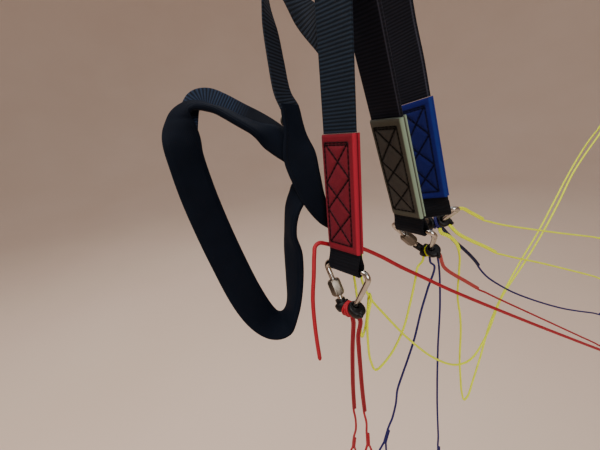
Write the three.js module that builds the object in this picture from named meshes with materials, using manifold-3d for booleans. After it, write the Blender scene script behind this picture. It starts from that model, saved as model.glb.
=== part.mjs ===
// Paraglider riser set, one side: three webbing risers on a common hang-in loop, each with a
// coloured stitched tab, a webbing eye and a steel quick link that gathers its lines, and a
// padded brake handle on its own strap. Millimetres, +Z up, origin where the harness carabiner
// bears in the hang-in loop. +X runs across the webbing, +Y from the front riser to the rear one.
import * as THREE from 'three';
import Module from 'manifold-3d';
import { mergeVertices } from 'three/addons/utils/BufferGeometryUtils.js';

// Driving dimensions
const WEB_WIDTH = 25;
const WEB_THICK = 1.8;
const CONTACT = 0.3;
const PITCH = WEB_THICK + CONTACT;
const STACK_TOP = -62;
const JUNCTION_LENGTH = 64;
const TAB = { width: 27, thick: 6, length: 75, groove: 1.2, seam: 0.5 };
const EYE_DROP = 13;
const LINK = { wire: 4, halfWidth: 20, apex: 42, cornerRadius: 4, footRadius: 7.2, sides: 10 };
const SLEEVE = { from: 15.5, length: 12, flats: 8.5, bore: 4.6, gateFrom: 20, gateTo: 24.5 };
const INSERT = { bore: 5, core: 8.6, collar: 12.4, collarLength: 0.17, lead: 3 };
const WRAP = { from: 0.3, taper: 0.06, hem: 0.8 };
const LINE = { thin: 1.8, sewn: 2.8, lead: 4 };
const BRAKE_LINE = 3;
const STRAP = { width: 16, thick: 1.6 };
const FLAP = { width: 22, thick: 3, hole: 2.1, holeAt: 0.936 };
const HANDLE = { width: 24, thick: 5 };
const BACKING = { width: 13, thick: 1.6 };
const HANG_IN = { thick: 2.2, reach: 13 };
const STUD = { radius: 4, height: 3, at: 0.06, aside: 2, lift: 0.5 };
const RING = { radius: 5.5, wire: 2 };

const COLOUR = {
  webbing: 0x11151b, red: 0x7c1a24, olive: 0x3a352e, blue: 0x101c66, steel: 0xb9bcc0,
  sleeve: 0x8b8f93, rubber: 0x0b0b0c, yellow: 0xc8d42a, navy: 0x14123a, lineRed: 0x951d24,
  padding: 0x090b0f,
};

const finish = (colour, roughness, metalness = 0) =>
  new THREE.MeshStandardMaterial({ color: colour, roughness, metalness });

const kernel = await Module();
kernel.setup();

const part = new THREE.Group();
part.name = 'riser_set';

const addMesh = (name, geometry, material) => {
  const mesh = new THREE.Mesh(geometry, material);
  mesh.name = name;
  part.add(mesh);
  return mesh;
};

const vector = ([x, y, z]) => new THREE.Vector3(x, y, z);
const radians = THREE.MathUtils.degToRad;

const onlyPositions = (geometry) => {
  geometry.deleteAttribute('normal');
  geometry.deleteAttribute('uv');
  return mergeVertices(geometry, 1e-4);
};

// A station gives the point on a route, the direction across it and the direction through it.
const bend = (geometry, station) => {
  const solid = onlyPositions(geometry);
  const position = solid.attributes.position;
  const vertex = new THREE.Vector3();
  for (let i = 0; i < position.count; i += 1) {
    vertex.fromBufferAttribute(position, i);
    const { point, across, through } = station(vertex.z);
    point.addScaledVector(across, vertex.x).addScaledVector(through, vertex.y);
    position.setXYZ(i, point.x, point.y, point.z);
  }
  return solid;
};

// A route through hand-chosen rows, each a point followed by the direction across the band there.
const bandRoute = (rows) => {
  const curve = (column) =>
    new THREE.CatmullRomCurve3(rows.map((row) => vector(row[column])), false, 'catmullrom', 0.5);
  const path = curve(0);
  const turn = curve(1);
  return (t) => {
    const tangent = path.getTangent(t);
    const across = turn.getPoint(t);
    across.addScaledVector(tangent, -across.dot(tangent)).normalize();
    const through = new THREE.Vector3().crossVectors(tangent, across);
    return { point: path.getPoint(t), across, through };
  };
};

// The same for rows with a third column, the band's width there, on a section of the given width.
const taperedRoute = (rows, width) => {
  const route = bandRoute(rows);
  const shares = rows.map((row) => new THREE.Vector3(row[2] / width, 0, 0));
  const taper = new THREE.CatmullRomCurve3(shares, false, 'catmullrom', 0.5);
  return (t) => {
    const station = route(t);
    station.across.multiplyScalar(taper.getPoint(t).x);
    return station;
  };
};

const flatSection = (width, thick, steps) =>
  new THREE.BoxGeometry(width, thick, 1, 1, 1, steps).translate(0, 0, 0.5);

const roundedSection = (width, thick, steps, arcs) => {
  const half = width / 2 - thick / 2;
  const shape = new THREE.Shape();
  shape.absarc(half, 0, thick / 2, -Math.PI / 2, Math.PI / 2, false);
  shape.absarc(-half, 0, thick / 2, Math.PI / 2, 3 * Math.PI / 2, false);
  return new THREE.ExtrudeGeometry(shape, { depth: 1, steps, bevelEnabled: false, curveSegments: arcs });
};

const solidOf = ({ attributes, index }) => new kernel.Manifold(new kernel.Mesh({
  numProp: 3,
  vertProperties: Float32Array.from(attributes.position.array),
  triVerts: Uint32Array.from(index.array),
}));

const drilled = (geometry, drill) => {
  const mesh = solidOf(geometry).subtract(solidOf(onlyPositions(drill))).getMesh();
  const result = new THREE.BufferGeometry();
  result.setAttribute('position', new THREE.BufferAttribute(mesh.vertProperties, 3));
  return result.setIndex(new THREE.BufferAttribute(mesh.triVerts, 1));
};

const circleShape = (radius) => {
  const shape = new THREE.Shape();
  shape.absarc(0, 0, radius, 0, 2 * Math.PI, false);
  return shape;
};

// A line of round section along its route, thicker where it is sewn back on itself.
const cordAlong = (route, steps, thin, thick, sewnLength) => {
  const path = new THREE.CatmullRomCurve3(route, false, 'centripetal');
  const upright = Math.abs(path.getTangent(0).z) > 0.9;
  const normal = upright ? new THREE.Vector3(1, 0, 0) : new THREE.Vector3(0, 0, 1);
  const rings = [];
  let run = 0;
  for (let i = 0; i <= steps; i += 1) {
    const point = path.getPoint(i / steps);
    const tangent = path.getTangent(i / steps);
    if (i > 0) run += point.distanceTo(rings[i - 1].point);
    normal.addScaledVector(tangent, -normal.dot(tangent)).normalize();
    const radius = (run < sewnLength ? thick : thin) / 2;
    const across = normal.clone().multiplyScalar(radius);
    rings.push({ point, across, through: new THREE.Vector3().crossVectors(tangent, across) });
  }
  const options = { depth: steps, steps, bevelEnabled: false, curveSegments: 4 };
  return bend(new THREE.ExtrudeGeometry(circleShape(1), options), (z) => {
    const ring = rings[Math.round(z)];
    return { point: ring.point.clone(), across: ring.across, through: ring.through };
  });
};

// Hang-in loop: one strip that goes up in front of the stacked risers, over the carabiner and
// down behind them, sewn to the stack along the junction.
const buildHangInLoop = () => {
  const front = -(PITCH + (HANG_IN.thick - WEB_THICK) / 2);
  const back = 2 * PITCH - front;
  const middle = (front + back) / 2;
  const foot = STACK_TOP - JUNCTION_LENGTH;
  const crown = HANG_IN.thick / 2;
  const sewn = (foot + STACK_TOP) / 2;
  const profile = [
    [front, foot], [front, sewn], [front, STACK_TOP], [middle - 7, -44],
    [middle - HANG_IN.reach, -22], [middle - 9.5, -6], [middle, crown], [middle + 9.5, -6],
    [middle + HANG_IN.reach, -22], [middle + 7, -44], [back, STACK_TOP], [back, sewn], [back, foot],
  ];
  const route = bandRoute(profile.map(([y, z]) => [[0, y, z], [1, 0, 0]]));
  const geometry = bend(flatSection(WEB_WIDTH, HANG_IN.thick, 60), route);
  addMesh('hang_in_loop', geometry, finish(COLOUR.webbing, 0.8));
};

// Each riser: the rows of its route from the junction to the top of its tab, where that tab hangs,
// the turn of its link's bar about the tab's length and the link's swing at rest, in degrees.
const ALONG_X = [1, 0, 0];
const SECOND = PITCH;
const THIRD = 2 * PITCH;
const RISERS = {
  a: {
    route: [
      [[0, 0, STACK_TOP], ALONG_X], [[0, 0, -160], ALONG_X], [[0, 0, -270], ALONG_X],
      [[0, 0, -374.7], ALONG_X],
    ],
    steps: 12, tab: [0, 0, -375], up: [0, 0, 1], across: ALONG_X,
    turn: 0, swing: 0, colour: COLOUR.red, wrap: COLOUR.lineRed,
  },
  b: {
    route: [
      [[0, SECOND, STACK_TOP], ALONG_X], [[0, SECOND, -150], ALONG_X], [[0, SECOND, -235], ALONG_X],
      [[0.3, 2.5, -258], ALONG_X], [[2.6, 6.2, -277], [0.995, -0.04, 0]],
      [[4.9, 15.6, -303.2], [0.994, -0.08, 0.01]], [[6.6, 26.8, -336.1], [0.99, -0.1, 0.01]],
      [[8.3, 37.7, -368.8], [0.99, -0.11, 0.01]],
    ],
    steps: 22, tab: [8.3, 37.8, -369.1], up: [-0.05, -0.32, 0.946], across: [0.99, -0.11, 0.01],
    turn: 0, swing: 20, colour: COLOUR.olive, wrap: COLOUR.yellow,
  },
  c: {
    route: [
      [[0, THIRD, STACK_TOP], ALONG_X], [[0, THIRD, -84], ALONG_X], [[0, THIRD, -106], ALONG_X],
      [[0, 4.3, -128], ALONG_X], [[-0.6, 7, -147], [1, 0, 0.01]], [[-2.4, 15.5, -172], [1, 0, 0.04]],
      [[-5.8, 32, -202], [0.99, 0, 0.09]], [[-9.6, 52, -236], [0.985, 0.01, 0.14]],
      [[-10.4, 69, -272], [0.983, 0.03, 0.17]], [[-7, 78, -308], [0.983, 0.045, 0.176]],
      [[-1.6, 81.6, -335], [0.983, 0.049, 0.176]], [[2.75, 84.17, -359.5], [0.983, 0.049, 0.176]],
    ],
    steps: 33, tab: [2.8, 84.2, -359.8], up: [-0.17, -0.1, 0.98], across: [0.983, 0.049, 0.176],
    turn: 25, swing: 55, colour: COLOUR.blue, wrap: COLOUR.navy,
  },
};

const tabFrame = ({ up, across }) => {
  const z = vector(up).normalize();
  const x = vector(across);
  x.addScaledVector(z, -x.dot(z)).normalize();
  return { x, y: new THREE.Vector3().crossVectors(z, x), z };
};

// The tab's cover folds round one edge of the webbing; its two free edges meet in a groove.
const tabGeometry = () => {
  const w = TAB.width / 2;
  const t = TAB.thick / 2;
  const shape = new THREE.Shape();
  shape.moveTo(w, -t);
  shape.lineTo(w, -TAB.seam);
  shape.lineTo(w - TAB.groove, 0);
  shape.lineTo(w, TAB.seam);
  shape.lineTo(w, t);
  shape.lineTo(t - w, t);
  shape.absarc(t - w, 0, t, Math.PI / 2, 3 * Math.PI / 2, false);
  const options = { depth: TAB.length, steps: 1, bevelEnabled: false, curveSegments: 6 };
  return onlyPositions(new THREE.ExtrudeGeometry(shape, options));
};

// Webbing eye: a fold round the link's bar, turned with the bar towards its lower end.
const eyeRoute = (foot, axes, turn) => {
  const legs = WEB_THICK / 2 + CONTACT;
  const round = LINK.wire / 2 + CONTACT + WEB_THICK / 2;
  const straight = 2.5;
  const turned = 10;
  const profile = [
    [-legs, CONTACT], [-legs, straight], [-legs - 0.7, 5.6], [-round, 9.5], [-round, EYE_DROP],
  ];
  const arc = [-60, -30, 0, 30, 60].map((a) =>
    [round * Math.sin(radians(a)), EYE_DROP + round * Math.cos(radians(a))]);
  const rows = [...profile, ...arc, ...profile.map(([n, s]) => [-n, s]).reverse()];
  return bandRoute(rows.map(([side, drop]) => {
    const share = THREE.MathUtils.smoothstep(drop, straight, turned);
    const angle = radians(turn) * share;
    const across = axes.x.clone().applyAxisAngle(axes.z, angle);
    const through = axes.y.clone().applyAxisAngle(axes.z, angle);
    const point = foot.clone().addScaledVector(axes.z, -drop).addScaledVector(through, side);
    return [point.toArray(), across.toArray()];
  }));
};

// Quick link in its own plane: bar at the top, two legs that meet in a small round foot. The wire
// runs from the gate's upper end, round the link, to the gate's lower end inside the sleeve.
const LEFT = new THREE.Vector3(-LINK.halfWidth, 0, 0);
const RIGHT = new THREE.Vector3(LINK.halfWidth, 0, 0);
const FOOT = new THREE.Vector3(0, 0, -LINK.apex);
const LEG = FOOT.clone().sub(LEFT).normalize();
const alongLeg = (distance) => LEFT.clone().addScaledVector(LEG, distance);

const roundCorner = (points, from, corner, to, radius) => {
  const a = from.clone().sub(corner).normalize();
  const b = to.clone().sub(corner).normalize();
  const half = a.angleTo(b) / 2;
  const centre = corner.clone().addScaledVector(a.clone().add(b).normalize(), radius / Math.sin(half));
  const reach = radius / Math.tan(half);
  const first = corner.clone().addScaledVector(a, reach).sub(centre);
  const last = corner.clone().addScaledVector(b, reach).sub(centre);
  const sweep = Math.PI - 2 * half;
  const count = Math.ceil(sweep / 0.3);
  for (let i = 0; i <= count; i += 1) {
    const before = Math.sin((1 - i / count) * sweep) / Math.sin(sweep);
    const after = Math.sin((i / count) * sweep) / Math.sin(sweep);
    points.push(centre.clone().addScaledVector(first, before).addScaledVector(last, after));
  }
};

const linkWireGeometry = () => {
  const points = [alongLeg(SLEEVE.gateFrom)];
  roundCorner(points, FOOT, LEFT, RIGHT, LINK.cornerRadius);
  roundCorner(points, LEFT, RIGHT, FOOT, LINK.cornerRadius);
  roundCorner(points, RIGHT, FOOT, LEFT, LINK.footRadius);
  points.push(alongLeg(SLEEVE.gateTo));
  const steps = points.length - 1;
  const options = { depth: steps, steps, bevelEnabled: false, curveSegments: LINK.sides / 2 };
  return bend(new THREE.ExtrudeGeometry(circleShape(LINK.wire / 2), options), (z) => {
    const i = Math.round(z);
    const tangent = points[Math.min(steps, i + 1)].clone().sub(points[Math.max(0, i - 1)]).normalize();
    const across = new THREE.Vector3(0, 1, 0);
    return { point: points[i].clone(), across, through: new THREE.Vector3().crossVectors(tangent, across) };
  });
};

const sleeveGeometry = () => {
  const radius = SLEEVE.flats / 2 / Math.cos(Math.PI / 6);
  const corners = [0, 60, 120, 180, 240, 300].map(radians);
  const hexagon = new THREE.Shape(
    corners.map((a) => new THREE.Vector2(radius * Math.cos(a), radius * Math.sin(a))));
  const bore = new THREE.Path();
  bore.absarc(0, 0, SLEEVE.bore / 2, 0, 2 * Math.PI, true);
  hexagon.holes.push(bore);
  const options = { depth: SLEEVE.length, steps: 1, bevelEnabled: false, curveSegments: 6 };
  const across = new THREE.Vector3(0, 1, 0);
  const through = new THREE.Vector3().crossVectors(LEG, across);
  return bend(new THREE.ExtrudeGeometry(hexagon, options), (z) =>
    ({ point: alongLeg(SLEEVE.from + z), across, through }));
};

// The link's foot, as an arc about its own centre, with the angle measured from straight down.
const LEAN = Math.atan2(LINK.halfWidth, LINK.apex);
const FOOT_CENTRE = new THREE.Vector3(0, 0, LINK.footRadius / Math.sin(LEAN) - LINK.apex);
const FOOT_SWEEP = Math.PI - 2 * LEAN;
const outward = (angle) => new THREE.Vector3(-Math.sin(angle), 0, -Math.cos(angle));

// Rubber insert round the link's foot: a core between two collars.
const footStation = (t) => {
  const length = FOOT_SWEEP * LINK.footRadius;
  const run = t * (length + 2 * INSERT.lead) - INSERT.lead;
  const onArc = THREE.MathUtils.clamp(run, 0, length);
  const angle = onArc / LINK.footRadius - FOOT_SWEEP / 2;
  const tangent = new THREE.Vector3(-Math.cos(angle), 0, Math.sin(angle));
  const point = FOOT_CENTRE.clone().addScaledVector(outward(angle), LINK.footRadius);
  point.addScaledVector(tangent, run - onArc);
  const across = new THREE.Vector3(0, 1, 0);
  return { point, across, through: new THREE.Vector3().crossVectors(tangent, across) };
};

// Rows give the outer radius and the share of the length; the bore has the same rows.
const collarProfile = (inner, rows) => {
  const outside = rows.map(([radius, height]) => new THREE.Vector2(radius, height));
  const inside = rows.map((row) => new THREE.Vector2(inner, row[1])).reverse();
  return new THREE.LatheGeometry([...outside, ...inside, outside[0].clone()], 12).rotateX(Math.PI / 2);
};

const insertGeometry = () => {
  const core = INSERT.core / 2;
  const collar = INSERT.collar / 2;
  const c = INSERT.collarLength;
  const half = [[collar * 0.8, 0], [collar, c / 3], [collar, 2 * c / 3], [core, c], [core, WRAP.from],
    [core, WRAP.from + WRAP.taper]];
  const rows = [...half, [core, 0.5], ...half.map(([r, h]) => [r, 1 - h]).reverse()];
  return bend(collarProfile(INSERT.bore / 2, rows), footStation);
};

const WRAP_INNER = INSERT.core / 2 + CONTACT;
const WRAP_OUTER = WRAP_INNER + LINE.thin;
const wrapGeometry = () => {
  const hem = WRAP_INNER + WRAP.hem;
  const half = [[hem, WRAP.from], [WRAP_OUTER, WRAP.from + WRAP.taper]];
  const rows = [...half, [WRAP_OUTER, 0.5], ...half.map(([r, h]) => [r, 1 - h]).reverse()];
  return bend(collarProfile(WRAP_INNER, rows), footStation);
};

const linkPlace = {};
const buildRiser = (key, riser) => {
  const band = flatSection(WEB_WIDTH, WEB_THICK, riser.steps);
  addMesh(`riser_${key}_webbing`, bend(band, bandRoute(riser.route)), finish(COLOUR.webbing, 0.8));
  const axes = tabFrame(riser);
  const foot = vector(riser.tab).addScaledVector(axes.z, -TAB.length);
  const tab = addMesh(`riser_${key}_tab`, tabGeometry(), finish(riser.colour, 0.75));
  tab.applyMatrix4(new THREE.Matrix4().makeBasis(axes.x, axes.y, axes.z).setPosition(foot));
  const fold = flatSection(WEB_WIDTH, WEB_THICK, 28);
  addMesh(`riser_${key}_eye`, bend(fold, eyeRoute(foot, axes, riser.turn)), finish(COLOUR.webbing, 0.8));

  const bar = axes.x.clone().applyAxisAngle(axes.z, radians(riser.turn));
  const up = axes.z.clone().applyAxisAngle(bar, radians(riser.swing));
  const seat = foot.clone().addScaledVector(axes.z, -EYE_DROP);
  const place = new THREE.Matrix4().makeBasis(bar, new THREE.Vector3().crossVectors(up, bar), up);
  place.setPosition(seat);
  linkPlace[key] = place;
  const pieces = [
    [`link_${key}_body`, linkWireGeometry(), finish(COLOUR.steel, 0.3, 1)],
    [`link_${key}_sleeve`, sleeveGeometry(), finish(COLOUR.sleeve, 0.35, 1)],
    [`link_${key}_insert`, insertGeometry(), finish(COLOUR.rubber, 0.6)],
    [`line_${key}_wrap`, wrapGeometry(), finish(riser.wrap, 0.7)],
  ];
  pieces.forEach(([name, geometry, material]) => addMesh(name, geometry, material).applyMatrix4(place));
};

// Brake handle: a strap sewn to the back of the front riser arches over and down to a flap; the
// padded loop's two ends are sewn to the flap, whose tip carries a ring for the brake line.
const STRAP_ROWS = [
  [[4, 2.05, -338], [0.7, 0, 0.7]], [[-4, 2.05, -329.5], [0.7, 0, 0.7]],
  [[-12, 2.1, -320.5], [0.7, 0.05, 0.7]], [[-20, 2.6, -311], [0.5, 0.4, 0.7]],
  [[-29, 1, -298], [0, 0.85, 0.5]], [[-44, 0, -277], [-0.3, 0.85, 0.4]],
  [[-53, 0, -267], [-0.4, 0.8, 0.4]], [[-59, 1.6, -270], [-0.5, 0.8, 0.4]],
  [[-59, 2.5, -281], [-0.6, 0.8, 0.3]], [[-57.6, 2.6, -292], [-0.6, 0.8, 0.3]],
  [[-54.2, 1.1, -308], [-0.3, 0.93, 0.2]], [[-50, -0.8, -326], [-0.2, 0.95, 0.15]],
  [[-44.5, -3.1, -345.3], [-0.15, 0.97, 0.15]], [[-39.05, -2.4, -356.4], [0.02, 0.98, 0.1]],
];

// Columns: point, direction across, width.
const FLAP_ROWS = [
  [[-38.4, -2.3, -358.2], [0.02, 0.98, 0.1], 14], [[-34.4, -4.3, -372], [0.25, 0.94, 0.12], 16],
  [[-30, -6, -387], [0.53, 0.83, 0.18], 22], [[-25.5, -6, -402], [0.53, 0.83, 0.14], 20],
  [[-22, -3.5, -417], [0.49, 0.85, 0.2], 16], [[-19.3, 3, -430.5], [0.4, 0.85, 0.35], 12],
  [[-16.4, 12.2, -440.2], [0.45, 0.88, 0], 9], [[-12.7, 16.4, -447.5], [0.45, 0.88, -0.15], 7],
];

// Columns: middle of the padded band, direction across it, width.
const HANDLE_ROWS = [
  [[-34.1, -3, -389.5], [-0.19, -0.73, -0.65], 15],
  [[-43.1, -6.8, -381.6], [-0.04, -0.82, -0.57], 19],
  [[-50.7, -11.9, -373.6], [0.18, -0.89, -0.42], 23],
  [[-56.9, -19.1, -367.7], [0.5, -0.86, -0.11], 24],
  [[-61.6, -27.7, -361.7], [0.6, -0.8, -0.03], 24],
  [[-68.9, -35.7, -354.7], [0.66, -0.75, -0.02], 24.1],
  [[-74.2, -41.8, -351.6], [0.72, -0.69, -0.03], 22.4],
  [[-80.2, -47.2, -349.3], [0.78, -0.59, -0.21], 20.9],
  [[-83.9, -53, -350.1], [0.9, -0.27, -0.33], 19.9],
  [[-85.1, -57.7, -355.3], [0.93, 0.24, -0.27], 20.9],
  [[-83.4, -60.6, -363], [0.75, 0.66, -0.07], 23.1],
  [[-80.4, -61.9, -371.1], [0.4, 0.91, -0.07], 24],
  [[-78.5, -62.4, -381.1], [0.14, 0.99, -0.03], 24],
  [[-73.5, -61.4, -404.1], [0.2, 0.98, -0.01], 24],
  [[-67.5, -58.9, -428.1], [0.21, 0.98, 0.04], 24],
  [[-60.5, -55.4, -453.1], [0.23, 0.97, 0], 24],
  [[-52.5, -50.9, -479.1], [0.24, 0.97, -0.02], 24],
  [[-47.5, -44.4, -498.1], [-0.07, 0.98, 0.19], 24],
  [[-42.5, -36.9, -508.4], [-0.49, 0.77, 0.41], 24],
  [[-38, -27.9, -508.6], [-0.75, 0.58, 0.33], 24],
  [[-35.9, -21.8, -497.1], [-0.91, 0.41, 0.05], 24],
  [[-36.5, -17.4, -478.1], [-0.96, 0.19, -0.2], 24],
  [[-37.8, -14.4, -457.1], [-0.94, 0.14, -0.3], 24],
  [[-39.2, -13.8, -442.3], [-0.9, 0.37, -0.22], 24],
  [[-38.6, -11.9, -428.9], [-0.92, 0.35, -0.17], 24],
  [[-37, -8.4, -419.2], [-0.96, 0.01, -0.29], 20],
  [[-33.5, -4.1, -411.2], [-0.68, -0.59, -0.44], 16],
  [[-29.6, -1, -405.1], [-0.46, -0.8, -0.38], 13],
];

// Webbing tape behind the padding's far edge: middle of the tape, direction across it.
const BACKING_ROWS = [
  [[-41, 2.1, -384.4], [-0.2, -0.73, -0.66]], [[-50.3, -0.8, -376], [-0.12, -0.67, -0.73]],
  [[-60.7, -4.1, -368], [-0.15, -0.58, -0.8]], [[-69.3, -9.2, -361.3], [-0.12, -0.56, -0.82]],
  [[-76.9, -16.8, -354.8], [-0.08, -0.52, -0.85]], [[-84.7, -25.5, -347.4], [0, -0.46, -0.89]],
  [[-90.9, -32.3, -343.1], [0.21, -0.25, -0.95]], [[-94.4, -39.5, -343.8], [0.49, 0.12, -0.86]],
  [[-92.4, -46.6, -350.4], [0.7, 0.61, -0.37]], [[-86.9, -51.8, -358.6], [0.68, 0.73, -0.1]],
  [[-84.5, -54.8, -365.3], [0.61, 0.78, -0.13]],
];

const flapRoute = bandRoute(FLAP_ROWS);

const basisAt = (x, y, z, point) => new THREE.Matrix4().makeBasis(x, y, z).setPosition(point);

const flapGeometry = () => {
  const strip = bend(flatSection(FLAP.width, FLAP.thick, 28), taperedRoute(FLAP_ROWS, FLAP.width));
  const { point, across, through } = flapRoute(FLAP.holeAt);
  const drill = new THREE.CylinderGeometry(FLAP.hole, FLAP.hole, 2 * FLAP.thick, 10);
  drill.applyMatrix4(basisAt(across, through, new THREE.Vector3().crossVectors(across, through), point));
  return drilled(strip, drill);
};

// The brake line is tied with its bight round the ring: one side leads away, its tail hangs free.
const ringAxis = new THREE.Vector3(0.45, 0.88, -0.15).normalize();
const ringCentre = new THREE.Vector3(-12.5, 13, -449);
const ringTop = new THREE.Vector3(-0.35, 0.32, 0.88);
ringTop.addScaledVector(ringAxis, -ringTop.dot(ringAxis)).normalize();
const ringSide = new THREE.Vector3().crossVectors(ringAxis, ringTop);
const knotCentre = ringCentre.clone().addScaledVector(ringTop, -RING.radius);
const KNOT_RADIUS = RING.wire / 2 + CONTACT + BRAKE_LINE / 2;
const knotExit = (side) =>
  knotCentre.clone().addScaledVector(ringAxis, side * (KNOT_RADIUS + BRAKE_LINE / 2 + CONTACT));

const buildHandle = () => {
  const strap = bend(flatSection(STRAP.width, STRAP.thick, 48), bandRoute(STRAP_ROWS));
  addMesh('brake_strap', strap, finish(COLOUR.webbing, 0.8));
  addMesh('brake_flap', flapGeometry(), finish(COLOUR.padding, 0.85));
  const loop = roundedSection(HANDLE.width, HANDLE.thick, 78, 4);
  addMesh('brake_handle', bend(loop, taperedRoute(HANDLE_ROWS, HANDLE.width)), finish(COLOUR.padding, 0.85));
  const tape = bend(flatSection(BACKING.width, BACKING.thick, 60), bandRoute(BACKING_ROWS));
  addMesh('brake_handle_backing', tape, finish(COLOUR.webbing, 0.8));
  const { point, across, through } = flapRoute(STUD.at);
  const behind = through.negate();
  point.addScaledVector(behind, FLAP.thick / 2 + STUD.lift + STUD.height / 2);
  point.addScaledVector(across, -STUD.aside);
  const along = new THREE.Vector3().crossVectors(behind, across);
  const stud = new THREE.CylinderGeometry(STUD.radius * 0.85, STUD.radius, STUD.height, 20);
  stud.applyMatrix4(basisAt(along, behind, across, point));
  addMesh('brake_press_stud', onlyPositions(stud), finish(COLOUR.steel, 0.3, 1));
  const ring = new THREE.TorusGeometry(RING.radius, RING.wire / 2, 8, 28);
  ring.applyMatrix4(basisAt(ringSide, ringTop, ringAxis.clone().negate(), ringCentre));
  addMesh('brake_ring', onlyPositions(ring), finish(COLOUR.steel, 0.3, 1));
  const knot = new THREE.TorusGeometry(KNOT_RADIUS, BRAKE_LINE / 2, 8, 20);
  knot.applyMatrix4(basisAt(ringAxis, ringTop, ringSide, knotCentre));
  addMesh('brake_line_knot', onlyPositions(knot), finish(COLOUR.lineRed, 0.7));
};

// Lines that leave a link's wrap. Columns: name, riser, where the line leaves the wrap (degrees round
// the link's foot, degrees round its wire), colour, steps, sewn length, then its route's points.
const LINES = [
  ['line_a_red_left', 'a', [-13, 0], COLOUR.lineRed, 40, 91, [[3.5, 0, -514], [2.3, 0, -527.3],
    [1.3, 0, -546.8], [0.7, 0, -572.4], [1.1, 0, -593.6], [1.8, 0, -611], [-0.9, 0, -630.1],
    [-3.9, 0, -655.7]]],
  ['line_a_red_right', 'a', [-29, 12], COLOUR.lineRed, 40, 91, [[6.8, 1.6, -516.9], [6.5, 2, -529.9],
    [7.1, 2, -544.6], [8.2, 2, -568.5], [9.8, 2, -588.3], [11.5, 2, -604.3], [12.1, 2, -619.7],
    [12.2, 2, -641.1]]],
  ['line_b_navy_hanging', 'b', [-22, -42], COLOUR.navy, 56, 0, [[24, 84.8, -489.9], [22.7, 77, -508.6],
    [21.4, 69.8, -526], [20.6, 60.8, -549.6], [19.1, 54, -566], [17.3, 47, -581.8], [16.1, 41.3, -595],
    [16.6, 38.1, -607], [16.2, 34.4, -618.1], [15.1, 29.4, -630.1], [14, 24.5, -643.6],
    [13.5, 19.3, -658.9]]],
  ['line_b_red_away', 'b', [-24, 20], COLOUR.lineRed, 64, 75, [[24, 107, -501], [36, 126, -519],
    [49, 147, -537], [85, 203, -580], [133, 275, -635], [147, 296, -650]]],
  ['line_b_yellow', 'b', [8, -40], COLOUR.yellow, 156, 0, [[13.8, 76, -490.7], [13.7, 72.3, -502.4],
    [13.3, 65.5, -521.2], [12.7, 56.4, -540.7], [11.1, 43.9, -555.4], [9.3, 32.7, -562.3],
    [7.3, 22.3, -564.2], [5.2, 18, -552.3], [4.3, 16.6, -534.2], [3.9, 17.5, -514.3],
    [3.8, 22.6, -499.3], [2.5, 24.1, -497], [0.3, 26.1, -496.8], [-1.4, 27.5, -498.8],
    [-1.8, 27.4, -501.7], [-0.9, 24.1, -512.9], [-0.2, 20.2, -523.5], [1, 13.8, -529.1],
    [-0, 13.1, -518.3], [-2.9, 15.5, -505.4], [-5.4, 16.8, -491.9], [-7.3, 17.3, -479],
    [-8.4, 17.8, -463], [-9.2, 18.8, -456.4], [-5.1, 20.3, -452.9], [-1.7, 19.2, -456.3],
    [-2, 19.6, -468], [-3, 21.4, -484], [1, 25, -499], [9, 34, -517], [21, 52, -546], [33, 74, -573],
    [43, 99, -592], [49, 123, -597], [52, 152, -585], [53, 186, -560], [61, 229, -533], [67, 266, -509],
    [72, 302, -482], [76, 337, -455], [84, 378, -428], [96, 425, -397]]],
  ['line_c_yellow_upper', 'c', [-22, 58], COLOUR.yellow, 60, 60, [[20, 145, -456], [25, 160, -464],
    [36, 178, -476], [71, 247, -501], [112, 325, -526], [125, 349, -534]]],
  ['line_c_yellow_lower', 'c', [-30, 14], COLOUR.yellow, 60, 75, [[22, 137, -478], [30, 148, -487],
    [39, 163, -497], [48, 179, -508], [77, 234, -533], [120, 309, -569], [134, 332, -581]]],
  ['line_c_yellow_drooping', 'c', [-18, -62], COLOUR.yellow, 120, 32, [[19.4, 122.4, -476.4],
    [23.8, 128, -483.2], [26.8, 131.5, -493.8], [27.8, 131.3, -512.2], [29.3, 128.6, -539.7],
    [33.2, 127.6, -557.9], [35.5, 126.2, -573.5], [38.5, 121.5, -605.2], [41.6, 119.3, -625.8],
    [44, 118.5, -640.5], [46.5, 120.3, -650.4], [47.9, 126.8, -648.6], [48, 134.6, -639.9],
    [48.6, 151.3, -616.2], [48, 174, -589], [50, 201, -566], [55, 239, -539], [61, 277, -514],
    [66, 315, -486], [71, 350, -458], [79, 393, -426], [92, 441, -394]]],
  ['line_c_navy_away', 'c', [-20, -24], COLOUR.navy, 64, 60, [[21, 132, -484], [28, 141, -495],
    [36, 149, -508], [43, 156, -523], [55, 173, -540], [67, 193, -555], [96, 242, -584],
    [127, 300, -610], [141, 323, -620]]],
  ['line_c_navy_hanging', 'c', [20, -55], COLOUR.navy, 60, 0, [[14, 117, -502], [20, 111, -538],
    [24, 103, -588], [30, 94, -642], [37, 88, -699], [39, 85, -723]]],
];

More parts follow.
